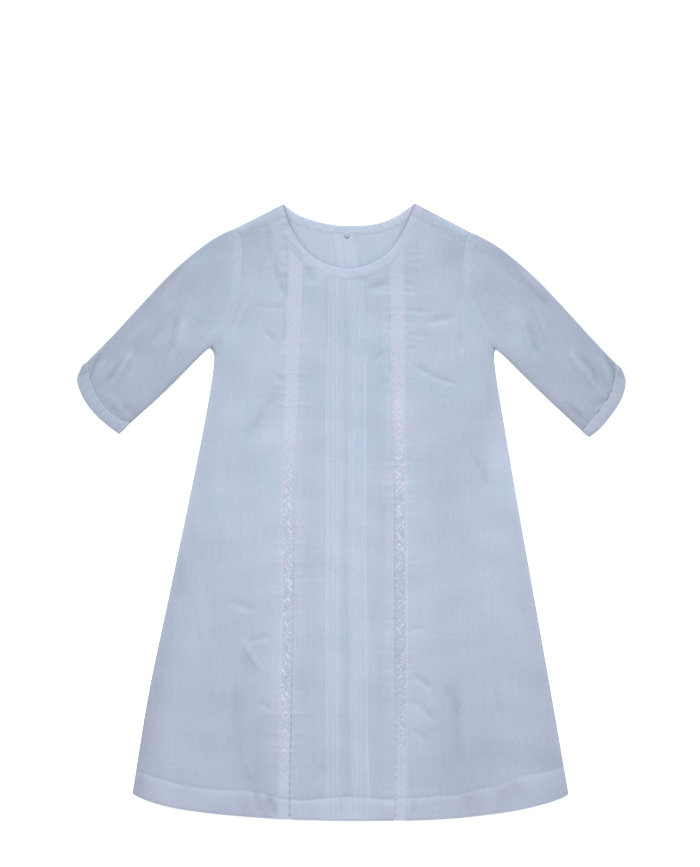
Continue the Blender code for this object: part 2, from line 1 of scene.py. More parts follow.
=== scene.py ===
# %% [markdown]
# # A baby's daygown in pale blue batiste
# Batiste is a fine plain-woven cotton. This gown has a tucked centre panel between two
# lace insertions, a plain panel on each side, long sleeves with bound cuffs, a bound
# neck, and a short slit in the back. It lies on its back on a pale surface.
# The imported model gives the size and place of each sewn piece. Each piece is made
# again here as thin cloth with its own creases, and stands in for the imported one.

import math

import bpy
import numpy as np
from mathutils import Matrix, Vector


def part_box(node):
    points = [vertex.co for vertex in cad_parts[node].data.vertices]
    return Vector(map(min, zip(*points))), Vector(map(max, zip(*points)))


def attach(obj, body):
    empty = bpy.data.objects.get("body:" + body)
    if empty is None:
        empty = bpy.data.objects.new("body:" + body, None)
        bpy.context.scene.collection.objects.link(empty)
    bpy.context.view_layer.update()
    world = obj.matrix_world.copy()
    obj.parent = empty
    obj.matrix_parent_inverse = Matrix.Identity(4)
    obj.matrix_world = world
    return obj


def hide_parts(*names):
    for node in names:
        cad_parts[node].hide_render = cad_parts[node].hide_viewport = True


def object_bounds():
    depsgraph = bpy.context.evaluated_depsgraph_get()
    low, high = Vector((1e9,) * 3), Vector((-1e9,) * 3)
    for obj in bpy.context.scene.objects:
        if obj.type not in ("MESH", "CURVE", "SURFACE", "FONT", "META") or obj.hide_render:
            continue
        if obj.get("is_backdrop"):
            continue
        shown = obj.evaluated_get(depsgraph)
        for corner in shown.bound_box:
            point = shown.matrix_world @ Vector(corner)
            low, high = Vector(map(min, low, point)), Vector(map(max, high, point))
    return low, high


MM = 0.001
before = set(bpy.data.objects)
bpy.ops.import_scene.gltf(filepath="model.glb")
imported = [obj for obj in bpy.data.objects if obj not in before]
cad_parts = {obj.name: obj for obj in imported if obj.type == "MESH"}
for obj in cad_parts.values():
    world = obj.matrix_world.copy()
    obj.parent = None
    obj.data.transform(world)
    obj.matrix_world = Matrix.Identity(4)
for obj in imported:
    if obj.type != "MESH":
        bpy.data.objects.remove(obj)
cad_low, cad_high = ([float(value) for value in corner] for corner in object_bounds())
gown_length = cad_high[1] - cad_low[1]
print("packed model from", cad_low, "to", cad_high)

# %% [markdown]
# ## The camera
# A flat garment is looked at from straight above. A long lens a good way off keeps the
# two thin layers of cloth from spreading apart at the edges of the view. The camera
# stands over the chest, because the view leaves more room above the neck.

# %% Camera
VIEW_TO_LENGTH = 1.4034  # height of the view over the gown's length
CHEST_SHARE = 0.6270  # how far up the gown the middle of the view is
VIEW_MIDDLE_X = -0.0009
LENS = 85.0
SENSOR = 36.0

camera_data = bpy.data.cameras.new("overhead_camera")
camera_data.lens = LENS
camera_data.sensor_width = SENSOR
camera = bpy.data.objects.new("overhead_camera", camera_data)
bpy.context.scene.collection.objects.link(camera)
camera.location = (
    VIEW_MIDDLE_X,
    cad_low[1] + CHEST_SHARE * gown_length,
    cad_high[2] / 2 + VIEW_TO_LENGTH * gown_length * LENS / SENSOR,
)
bpy.context.scene.camera = camera
print("camera at", [round(value, 4) for value in camera.location])

# %% [markdown]
# ## Light and floor
# Fine cloth shows its creases only where light comes a little from one side. A white
# surround gives over a third of the light, and one broad soft lamp beyond the neck
# gives the rest, so that a hollow is dark on its upper side and light on its lower
# side. An area lamp would be brighter at one end, and a sun lamp with a wide angle
# lights the whole length evenly. The floor is a plain white sheet of paper, with a
# little light of its own so that it stays clean white.

# %% Light
SURROUND_LIGHT = 0.52
LAMP_STRENGTH = 4.1
LAMP_TILT = math.radians(50)  # from straight overhead, towards the neck
LAMP_ANGLE = math.radians(40)

scene = bpy.context.scene
scene.view_settings.view_transform = "Standard"
world = bpy.data.worlds.new("studio")
world.use_nodes = True
surround = world.node_tree.nodes["Background"]
surround.inputs["Color"].default_value = (1.0, 1.0, 1.0, 1.0)
surround.inputs["Strength"].default_value = SURROUND_LIGHT
scene.world = world

lamp_data = bpy.data.lights.new("soft_lamp", "SUN")
lamp_data.energy = LAMP_STRENGTH
lamp_data.angle = LAMP_ANGLE
lamp = bpy.data.objects.new("soft_lamp", lamp_data)
lamp.rotation_euler = (-LAMP_TILT, 0.0, 0.0)
lamp.location = (0.0, 1.0, 1.0)
scene.collection.objects.link(lamp)
print("surround", SURROUND_LIGHT, "lamp", LAMP_STRENGTH)

# %% Floor
FLOOR_HALF = 4.0
FLOOR_WHITE = 0.9
FLOOR_GLOW = 0.6

floor_material = bpy.data.materials.new("white_paper")
floor_material.use_nodes = True
paper = floor_material.node_tree.nodes["Principled BSDF"]
paper.inputs["Roughness"].default_value = 0.9
paper.inputs["Specular IOR Level"].default_value = 0.1
paper.inputs["Emission Color"].default_value = (1.0, 1.0, 1.0, 1.0)
paper.inputs["Emission Strength"].default_value = FLOOR_GLOW
grain = floor_material.node_tree.nodes.new("ShaderNodeTexNoise")
grain.inputs["Scale"].default_value = 400.0
shade = floor_material.node_tree.nodes.new("ShaderNodeValToRGB")
shade.color_ramp.elements[0].color = (FLOOR_WHITE - 0.02,) * 3 + (1.0,)
shade.color_ramp.elements[1].color = (FLOOR_WHITE + 0.02,) * 3 + (1.0,)
floor_material.node_tree.links.new(grain.outputs["Fac"], shade.inputs["Fac"])
floor_material.node_tree.links.new(shade.outputs["Color"], paper.inputs["Base Color"])

corners = [(-1, -1), (1, -1), (1, 1), (-1, 1)]
floor_mesh = bpy.data.meshes.new("floor")
floor_mesh.from_pydata([(x * FLOOR_HALF, y * FLOOR_HALF, 0.0) for x, y in corners], [], [(0, 1, 2, 3)])
floor_mesh.materials.append(floor_material)
floor = bpy.data.objects.new("floor", floor_mesh)
scene.collection.objects.link(floor)
floor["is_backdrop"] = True
print("floor", 2 * FLOOR_HALF, "m wide")

# %% [markdown]
# ## The pattern's lines
# A pattern cutter draws the gown as a few curves: side seams, armholes, shoulders,
# sleeve edges, neckline and hem. They could be Blender curves, but short tables of
# points with a smooth line through them are easier to cut, join and measure. These are
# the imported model's own lines, in millimetres, so each cloth piece falls exactly over
# the solid that it stands for.

# %% Sizes of the pattern, in millimetres
FRONT_BAND = 9.5
BACK_BAND = 8.0
HEM_DEPTH = 20.0  # of the turned-up hem, where it is even
LACE_WIDTH = 13.0
TUCK_WIDTH = 2.2
LAP = 0.8  # how far one piece runs under the next at a seam

OPENING_X = -9.9
OPENING_LEAN = 16.0
OPENING_LENGTH = 99.0
UNDERLAP = 6.3
OVERLAP = 12.6

SIDE_SEAMS = (  # height, x of the left seam, x of the right seam
    (-254.2, -197.1, 196.1),
    (-165.0, -182.6, 180.7),
    (-79.0, -164.7, 165.5),
    (7.0, -146.7, 150.2),
    (72.0, -133.6, 139.2),
    (115.0, -126.0, 132.0),
    (140.0, -123.3, 129.0),
)
HEM_MIDDLE_X = 1.0
HEM_LOWEST_Y = -278.0
HEM_HALF_WIDTH = 196.5
HEM_BOW = 16.0
HEM_CORNER_RISE = 7.8
HEM_CORNER_POWER = 10
HEM_DRIFT = (  # x, how far the hem's edge strays from its even bow
    (10.0, 0.0), (30.0, -0.25), (50.0, -0.8), (70.0, -1.3),
    (100.0, -1.4), (130.0, -1.0), (155.0, -0.4), (172.0, 0.0),
)
HEM_DEPTHS = (  # x, how deep the hem is turned up there
    (-197.0, 23.4), (-168.0, 23.0), (-150.0, 21.5), (-120.0, 21.4), (-98.0, 23.0),
    (-78.0, 21.4), (-64.0, 18.4), (-44.0, 17.2), (-22.0, 19.8), (-8.0, 21.4),
    (12.0, 20.6), (31.0, 19.0), (50.0, 20.6), (64.0, 19.9), (76.0, 21.2),
    (96.0, 20.6), (112.0, 24.0), (130.0, 24.8), (150.0, 30.2), (183.0, 28.8),
    (196.0, 28.0),
)

# %% Points of the seams, as (x, y)
UNDERARM = {"left": (-127.0, 148.2), "right": (130.6, 147.4)}
SHOULDER_TIP = {"left": (-102.0, 256.7), "right": (105.2, 253.4)}
NECK_POINT = {"left": (-60.6, 277.2), "right": (57.4, 278.0)}
ARMHOLE = {
    "left": ((-98.2, 243.0), (-98.8, 215.0), (-102.2, 192.0), (-115.6, 163.8)),
    "right": ((102.4, 241.0), (100.4, 214.0), (102.8, 188.0), (118.6, 161.0)),
}
OVERARM = {
    "left": (
        (-116.6, 250.4), (-134.1, 239.3), (-161.1, 216.6),
        (-188.1, 188.0), (-215.1, 158.6), (-237.4, 135.8),
    ),
    "right": (
        (118.2, 247.5), (136.4, 236.5), (163.5, 213.7),
        (190.5, 185.8), (217.3, 156.3), (238.7, 133.8),
    ),
}
UNDERSLEEVE = {
    "left": ((-134.0, 143.2), (-168.3, 108.2), (-199.4, 79.6)),
    "right": ((135.0, 144.0), (142.8, 136.6), (171.4, 107.8), (209.0, 72.2)),
}
CUFF_SEAM = {
    "left": ((-236.2, 124.0), (-233.2, 112.6), (-227.4, 101.0), (-218.0, 89.8), (-208.0, 82.4)),
    "right": ((238.2, 122.6), (234.4, 108.0), (227.0, 95.6), (218.4, 84.4)),
}
CUFF_EDGE = {
    "left": (
        (-242.2, 131.8), (-246.6, 120.6), (-244.2, 109.6), (-238.6, 98.6),
        (-229.8, 87.6), (-218.8, 77.8), (-208.8, 70.4),
    ),
    "right": (
        (243.8, 129.4), (247.4, 118.6), (245.6, 107.2), (240.4, 96.2),
        (231.8, 84.2), (223.0, 74.2), (214.6, 67.6),
    ),
}
FRONT_NECK = (
    (-53.6, 257.2), (-40.6, 236.6), (-24.0, 224.6), (-3.0, 219.6),
    (17.0, 223.8), (33.6, 234.4), (45.8, 252.8),
)
BACK_NECK = ((-44.4, 266.4), (-18.0, 259.2), (0.0, 258.2), (18.9, 259.2), (37.0, 264.6))
LACE_MIDDLE = {
    "left": (
        (-60.4, -300.0), (-59.6, -240.0), (-58.2, -169.0), (-56.3, -90.0),
        (-56.0, 47.0), (-51.0, 191.0), (-49.0, 262.0),
    ),
    "right": (
        (44.4, -300.0), (44.6, -240.0), (44.5, -169.0), (44.0, -90.0),
        (43.6, 47.0), (41.9, 191.0), (41.4, 262.0),
    ),
}
TUCKS = (  # name, x at the hem, x at the neck
    ("tuck_left_outer", -22.2, -22.0),
    ("tuck_left_second", -18.0, -17.7),
    ("tuck_left_third", -13.4, -13.3),
    ("tuck_left_inner", -9.0, -9.0),
    ("tuck_right_inner", 2.6, -1.3),
    ("tuck_right_third", 7.4, 4.2),
    ("tuck_right_second", 11.8, 8.6),
    ("tuck_right_outer", 16.2, 13.1),
)
TUCK_TOP_Y, TUCK_MIDDLE_Y, TUCK_BOTTOM_Y = 250.0, -40.0, -300.0
SIDES = (("left", -1), ("right", 1))
print(len(TUCKS), "tucks,", len(SIDE_SEAMS), "points on each side seam")

# %% Smooth lines through the points
CURVE_STEPS = 24


def smooth_line(knots):
    """Many points on a smooth line through the knots."""
    knots = np.array(knots, float)
    ends = np.vstack([2 * knots[0] - knots[1], knots, 2 * knots[-1] - knots[-2]])
    line = []
    for before, start, end, after in zip(ends, ends[1:], ends[2:], ends[3:]):
        for t in np.arange(CURVE_STEPS) / CURVE_STEPS:
            pull = t * (end - before) / 2
            bend = t * t * (before - 2.5 * start + 2 * end - after / 2)
            close = t**3 * (1.5 * (start - end) + (after - before) / 2)
            line.append(start + pull + bend + close)
    return np.array([*line, knots[-1]])


def lengths_along(line):
    steps = np.hypot(*np.diff(line, axis=0).T)
    return np.concatenate(([0.0], np.cumsum(steps)))


def points_on(line, shares):
    """Points on the line at these shares of its length."""
    along = lengths_along(line)
    wanted = np.array(shares) * along[-1]
    return np.column_stack([np.interp(wanted, along, line[:, axis]) for axis in (0, 1)])


def stretch(line, start, end, steps):
    """Points in equal steps on the line, from one share of its length to another."""
    return points_on(line, np.linspace(start, end, steps + 1))


def share_where(line, rising, level):
    """The share of the line's length at which a value that rises along it reaches a level."""
    along = lengths_along(line)
    return float(np.interp(level, rising, along)) / along[-1]


# %% Straight, moved and stepped lines
def straight(start, end, steps):
    share = np.linspace(0, 1, steps + 1)[:, None]
    return start + share * (end - start)


def moved(line, distance):
    """The line moved sideways, to its left as it runs."""
    ahead = np.gradient(line, axis=0)
    ahead /= np.hypot(*ahead.T)[:, None]
    return line + distance * np.column_stack([-ahead[:, 1], ahead[:, 0]])


def in_steps(parts, steps):
    """Lines that follow on, cut into about equal steps, with the corners between them kept."""
    lengths = np.array([lengths_along(part)[-1] for part in parts])
    ends = np.round(np.cumsum(lengths) / lengths.sum() * steps).astype(int)
    counts = np.maximum(np.diff([0, *ends]), 1)
    pieces = [stretch(part, 0, 1, count) for part, count in zip(parts, counts)]
    return np.vstack([pieces[0][:1], *[piece[1:] for piece in pieces]])


# %% How far points are from a line
def beside(line, x, y):
    """How far points are from a line, and how far along it their nearest point is."""
    starts, runs = line[:-1], np.diff(line, axis=0)
    lengths = np.hypot(*runs.T)
    from_x = x.reshape(-1, 1) - starts[:, 0]
    from_y = y.reshape(-1, 1) - starts[:, 1]
    reach = ((from_x * runs[:, 0] + from_y * runs[:, 1]) / lengths**2).clip(0, 1)
    apart = np.hypot(from_x - reach * runs[:, 0], from_y - reach * runs[:, 1])
    nearest = apart.argmin(1)
    row = np.arange(len(nearest))
    along = lengths_along(line)[nearest] + reach[row, nearest] * lengths[nearest]
    return apart[row, nearest].reshape(x.shape), along.reshape(x.shape)


# %% The gown's lines
def hem_y(x):
    share = (x - HEM_MIDDLE_X) / HEM_HALF_WIDTH
    bow = HEM_BOW * share**2 + HEM_CORNER_RISE * share**HEM_CORNER_POWER
    return HEM_LOWEST_Y + bow + np.interp(x, *zip(*HEM_DRIFT))


def hem_stretch(x):
    """How much deeper than HEM_DEPTH the hem is turned up, as a factor."""
    return np.interp(x, *zip(*HEM_DEPTHS)) / HEM_DEPTH


def above_hem(line):
    """The level over the hem's edge, which reaches HEM_DEPTH at the hem's top."""
    return (line[..., 1] - hem_y(line[..., 0])) / hem_stretch(line[..., 0])


def hem_line(left_x, right_x, level, steps):
    x = np.linspace(left_x, right_x, steps + 1)
    return np.column_stack([x, hem_y(x) + level * hem_stretch(x)])


def side_seam(side):
    column = {"left": 1, "right": 2}[side]
    return smooth_line([(row[column], row[0]) for row in SIDE_SEAMS] + [UNDERARM[side]])


def armhole_seam(side):
    """The armhole from the shoulder down to the underarm."""
    return smooth_line([SHOULDER_TIP[side], *ARMHOLE[side], UNDERARM[side]])


# %% Necklines and the lines that are used again
def neck_seam(edge, width):
    """Where a neck binding meets the panels, ending on the two shoulder lines."""
    ends = []
    for side, _ in SIDES:
        neck = np.array(NECK_POINT[side])
        slope = np.array(SHOULDER_TIP[side]) - neck
        ends.append(neck + slope * width / np.hypot(*slope))
    seam = moved(edge, -width)
    kept = (seam[:, 0] > ends[0][0]) & (seam[:, 0] < ends[1][0])
    kept &= seam[:, 1] < min(ends[0][1], ends[1][1]) - 1.0
    return np.vstack([ends[0], seam[kept], ends[1]])


FRONT_EDGE = smooth_line([NECK_POINT["left"], *FRONT_NECK, NECK_POINT["right"]])
BACK_EDGE = smooth_line([NECK_POINT["left"], *BACK_NECK, NECK_POINT["right"]])
FRONT_SEAM = neck_seam(FRONT_EDGE, FRONT_BAND)
BACK_SEAM = neck_seam(BACK_EDGE, BACK_BAND)
SHOULDERS = {
    side: straight(np.array(NECK_POINT[side]), np.array(SHOULDER_TIP[side]), 8) for side, _ in SIDES
}
SIDE_LINES = {side: stretch(side_seam(side), 0, 1, 60) for side, _ in SIDES}
ARMHOLE_LINES = {side: stretch(armhole_seam(side), 0, 1, 40) for side, _ in SIDES}
OUTLINES = [*SHOULDERS.values(), *SIDE_LINES.values()]
print("neck edges", [round(lengths_along(edge)[-1]) for edge in (FRONT_EDGE, BACK_EDGE)], "mm")


# %% Where the neck, the lace and the hem are
def neck_y(x):
    """Height of the seam under the front neck binding."""
    return np.interp(x, *FRONT_SEAM.T)


def back_neck_y(x):
    """Height of the seam under the back neck binding."""
    return np.interp(x, *BACK_SEAM.T)


def lace_edge(side, edge, beyond=0.0):
    """An edge of a lace insertion, -1 or 1, moved outwards by some distance."""
    return smooth_line(LACE_MIDDLE[side]) + np.array([edge * (LACE_WIDTH / 2 + beyond), 0.0])


def between(line, low_level, over=0.0):
    """The stretch of a rising line from a level above the hem up to the neck seam."""
    low = share_where(line, above_hem(line), low_level)
    high = share_where(line, line[:, 1] - neck_y(line[:, 0]), over)
    return stretch(line, low, high, 240)


def within_hem(line):
    low = share_where(line, above_hem(line), 0.0)
    high = share_where(line, above_hem(line), HEM_DEPTH)
    return stretch(line, low, high, 12)


print("gown", round(lengths_along(side_seam("left"))[-1]), "mm down its side seam")

# %% [markdown]
# ## How the cloth lies
# Cloth that has been folded away keeps soft creases. Each one is listed: a
# hollow or a ridge from one point to another, of its own height, width and bow, steep
# on one side and soft on the other, fading out at its ends. Slow ripples lie under
# them, and short puckers stand beside the stitched seams. A cloth simulation would
# make creases too, but not in chosen places. Heights are in millimetres.

# %% Creases
FRONT_LEVEL = 3.0  # the upper layer's usual height
SOFT_SIDE = 1.8  # how much wider a crease is on its soft side
CREASE_TAPER = 0.36  # share of its length over which a crease fades at each end

# x and y of one end, x and y of the other, rise, half width, bow
FRONT_CREASES = (
    # left sleeve
    (-157, 179, -164, 137, -1.4, 2.4, -2), (-146, 178, -157, 138, 0.7, 4.2, 2),
    (-165, 182, -179, 148, -0.7, 2.8, 0), (-158.5, 191, -172, 160, 0.7, 2.6, 1.5),
    (-126, 238, -176, 184, 0.45, 4.5, 0), (-137, 235, -188, 178, -0.5, 3.5, 0),
    (-118, 230, -122, 184, -0.4, 4.5, 2), (-178, 176, -204, 146, 0.4, 3, 0),
    (-187, 152, -204, 118, -0.5, 2.6, 1.5), (-195, 146, -212, 120, 0.8, 2.4, 0),
    (-201, 142, -222, 113, -0.9, 2, -1), (-212, 139, -229, 114, 0.4, 2.2, -1),
    (-222.5, 145, -234.5, 110, -1.3, 1.6, 3), (-217, 141, -230, 110, 0.5, 1.8, 3),
    (-225, 104, -207, 84, -0.5, 2.8, 1), (-219, 106, -203, 88, 0.35, 2.6, 1),
    (-207, 98, -190, 81, -0.5, 2.8, 0), (-150, 190, -137, 166, 0.4, 5, 0),
    # right sleeve
    (156, 176, 168, 133, -1.4, 2.4, 0), (148, 180, 163, 138, 0.8, 3.8, -4),
    (163, 198, 180, 151, -0.6, 2.6, -1), (159, 194, 178, 148, 0.7, 2.6, -2),
    (158, 208, 179, 179, -0.7, 2.2, 0), (148, 222, 176, 188, 0.7, 3, 0),
    (118, 238, 160, 198, -0.45, 4.5, 0), (120, 226, 120, 186, -0.4, 4.5, -2),
    (195, 149, 209, 120, 0.7, 2.6, 0), (200, 148, 215, 115, -0.6, 2.4, 0),
    (205, 143, 224, 108, -0.9, 2, -1), (204, 136, 219, 108, 0.5, 2, -1),
    (225, 143, 237, 105, -1.3, 1.6, -4), (220, 139, 232, 105, 0.5, 1.8, -3),
    (191, 99, 209, 79, -0.5, 2.8, 0), (197, 101, 213, 84, 0.35, 2.6, 0),
    (215, 91, 230, 101, -0.6, 2.4, 0), (152, 186, 138, 164, 0.4, 5, 0),
    # left chest
    (-75, 260, -71, 219, -1.1, 2.4, 1.5), (-72, 228, -58, 188, -1, 2, 1),
    (-67, 234.5, -53, 234, -0.4, 2.2, 0), (-66, 221.5, -54, 219.5, -0.3, 1.2, 0),
    (-67, 211.5, -56, 210.5, -0.35, 1.2, 0), (-86, 185, -57, 182.5, -0.35, 1.6, 0),
    (-80.5, 165, -66.5, 150, -0.5, 1.8, 0), (-72, 127, -62, 114, -0.4, 1.8, 0),
    (-98, 197, -108, 160, -0.5, 1.6, -1), (-93, 191, -102, 165, 0.6, 1.8, 0),
    (-58.9, 219, -58.7, 183, -0.8, 0.9, 0), (-59.7, 175, -59.7, 147, -0.7, 0.9, 0),
    (-60, 117, -97, 57, -0.8, 5, 0),
    # right chest
    (47, 229.3, 65, 231.6, -0.4, 1.2, 0), (47, 225, 67, 224, -0.3, 1.1, 0),
    (48, 237, 66, 236, -0.3, 1.1, 0), (47, 213, 58, 212.5, -0.2, 1, 0),
    (47, 204.5, 61, 203.3, -0.35, 1.1, 0), (47, 198, 60, 198, -0.35, 1.1, 0),
    (49, 181, 73, 179, -0.4, 1.4, 0), (65, 169.5, 95, 174.5, -0.7, 2.2, 0),
    (47, 160, 74, 157, -0.35, 1.4, 0), (47, 147, 61, 147.5, -0.3, 1.2, 0),
    (56, 132.5, 72, 122, -0.7, 1.8, 0), (66, 125, 98, 113.5, -0.6, 1.6, 0.8),
    (98, 162, 99.5, 142, -0.6, 1.2, 0),
    # centre
    (37, 207, 14, 200.5, -0.8, 2.6, 0), (19, 210, -6, 207.5, -0.25, 1.6, 0),
    (-41, 222, -35, 203, -0.8, 2.8, 0), (33, 147, 20, 133, -0.4, 1.6, 1),
    (38, 117.5, 23, 116, -0.35, 1.6, 0), (34.5, 184, 34.6, 155, -0.8, 0.8, 0),
    (35.6, 138, 35.6, 118, -0.7, 0.8, 0), (-46, 164, -32, 126, 0.4, 4, 0),
    (-40, -14, -36, -94, -0.6, 4, 1), (26, 14, 33, -70, -0.6, 4, -1),
    (-25, -226, -32, -246, -0.5, 2.4, 0),
    # left skirt
    (-99, -111.5, -79, -145.5, 0.8, 2, 1.5), (-101, -128, -86, -156, -0.3, 3.4, 0),
    (-112, -80, -82, -90.5, -0.6, 2.6, 0), (-93, -117.5, -69, -113, -0.5, 1.8, -1),
    (-84.5, -170.5, -69.5, -180.5, -0.5, 1.8, 0), (-104, -140, -98, -256, -1.3, 3.2, 2),
    (-95, -220, -87, -245, 0.6, 1.6, 0), (-140, -56, -128, -140, 1, 4.2, 0),
    (-152, -34, -155, -92, -0.9, 3.6, 0), (-128, 44, -112, -34, 0.5, 7, 0),
    (-91, -249, -88, -275, 0.7, 1.4, 0), (-86.5, -250, -83, -275, -1, 1.3, 0),
    (-79.5, -251, -77, -276, 0.6, 1.4, 0), (-75.5, -253, -67, -279, -1.2, 1.5, 0),
    # right skirt
    (85, -153, 96, -192, -0.9, 3.4, 0), (93.5, -158, 97, -240, -1.3, 2.2, 0),
    (54, -144.5, 75, -163, -0.7, 1.8, 0), (51, -172, 66, -174, -0.45, 1.4, 0),
    (60, -172.5, 76, -190.5, -0.7, 1.8, 0), (53, -106.2, 69, -104.3, -0.4, 1.4, 0),
    (53, -43.7, 63, -43.7, -0.3, 1.2, 0), (52, -195, 71, -207, -0.35, 1.5, 0),
    (129.6, -156, 132, -190, -0.7, 2.4, 0), (110, 52, 125, 14, -0.7, 3.4, 0),
    (116, -30, 128, -116, 0.5, 7, 0), (55, -254, 56.6, -278, -0.9, 1, 0),
    (103, -252, 104, -274, -0.7, 1.3, 0),
)
print(len(FRONT_CREASES), "creases on the upper layer")


# %% Heights from creases, ripples and puckers
def smooth_step(value):
    value = np.clip(value, 0.0, 1.0)
    return value * value * (3.0 - 2.0 * value)


def crease_height(x, y, creases):
    total = np.zeros_like(x)
    for start_x, start_y, end_x, end_y, rise, half_width, bow in creases:
        length = math.hypot(end_x - start_x, end_y - start_y)
        ahead_x = (end_x - start_x) / length
        ahead_y = (end_y - start_y) / length
        reach = ((x - start_x) * ahead_x + (y - start_y) * ahead_y) / length
        inside = reach.clip(0.0, 1.0)
        aside = (x - start_x) * ahead_y - (y - start_y) * ahead_x
        aside = aside - bow * 4.0 * inside * (1.0 - inside)
        spread = half_width * np.where(aside > 0.0, 1.0, SOFT_SIDE)
        taper = smooth_step(reach / CREASE_TAPER) * smooth_step((1.0 - reach) / CREASE_TAPER)
        total = total + rise * taper * np.exp(-((aside / spread) ** 2))
    return total


def ripples(x, y, seed, height, shortest, longest, count=9):
    """Slow uneven waves in every direction."""
    draw = np.random.default_rng(seed)
    bent_x = x + 9.0 * np.sin(y / 31.0)
    bent_y = y + 9.0 * np.sin(x / 27.0)
    total = np.zeros_like(x)
    turns = draw.uniform(0, math.pi, count)
    waves = draw.uniform(shortest, longest, count)
    phases = draw.uniform(0, math.tau, count)
    for turn, wave, phase in zip(turns, waves, phases):
        across = bent_x * math.cos(turn) + bent_y * math.sin(turn)
        total += np.sin(across * math.tau / wave + phase)
    return height * total / math.sqrt(count)


# %% Puckers beside a seam
def puckers(along, away, seed, height, pitch, reach):
    """Short ripples that stitches draw into the cloth beside a seam."""
    draw = np.random.default_rng(seed)
    total = np.zeros_like(along)
    for share, phase in zip((0.63, 1.0, 1.71), draw.uniform(0, math.tau, 3)):
        total += np.sin(along * math.tau / (pitch * share) + phase)
    strength = 0.6 + 0.6 * np.sin(along / (2.7 * pitch) + draw.uniform(0, math.tau))
    fading = np.exp(-np.maximum(away, 0.0) / reach - np.maximum(-away, 0.0) / 2.0)
    return height * strength * total / 3.0 * fading


# %% The upper layer's surface
LACE_PUCKER = 0.2
LACE_PUCKER_PITCH = 9.0
LACE_PUCKER_REACH = 8.0
HEM_PUCKER = 0.3
SEAM_DIP = 0.3  # how far stitches draw the cloth down
SHOULDER_FACING = 11.2  # from the shoulder's edge down to its seam
EDGE_SHARE = 0.26  # how high the cloth is right at a seam down the side
EDGE_REACH = 6.0


def lace_x(side, y):
    line = np.array(LACE_MIDDLE[side])
    return np.interp(y, line[:, 1], line[:, 0])


def front_surface(x, y):
    """Height of the top of the upper layer."""
    height = FRONT_LEVEL + crease_height(x, y, FRONT_CREASES)
    height += ripples(x, y, 5, 0.3, 22, 76)
    for seed, (side, sign) in enumerate(SIDES):
        away = np.abs(x - lace_x(side, y)) - LACE_WIDTH / 2
        height += puckers(y, away, 20 + seed, LACE_PUCKER, LACE_PUCKER_PITCH, LACE_PUCKER_REACH)
    inside = np.clip(x, -HEM_HALF_WIDTH, HEM_HALF_WIDTH)
    above = above_hem(np.stack([inside, y], -1)) - HEM_DEPTH
    height += puckers(x, np.abs(above), 31, HEM_PUCKER, 9.0, 8.0)
    height -= SEAM_DIP * np.exp(-((above / 1.4) ** 2))
    for side, _ in SIDES:
        below = beside(SHOULDERS[side], x, y)[0] - SHOULDER_FACING
        height -= 0.8 * SEAM_DIP * np.exp(-((below / 1.2) ** 2))
    return height


def edge_fall(x, y):
    """How much of its height the upper layer keeps where it turns down to the back."""
    away = np.min([beside(line, x, y)[0] for line in OUTLINES], axis=0)
    return 1.0 - (1.0 - EDGE_SHARE) * (1.0 - np.clip(away / EDGE_REACH, 0, 1)) ** 2.4


def front_height(x, y):
    return front_surface(x, y) * edge_fall(x, y)


sample_x, sample_y = np.meshgrid(np.linspace(-190, 190, 90), np.linspace(-270, 230, 110))
sample = front_surface(sample_x, sample_y)
print("upper layer from", sample.min().round(2), "to", sample.max().round(2), "mm high")
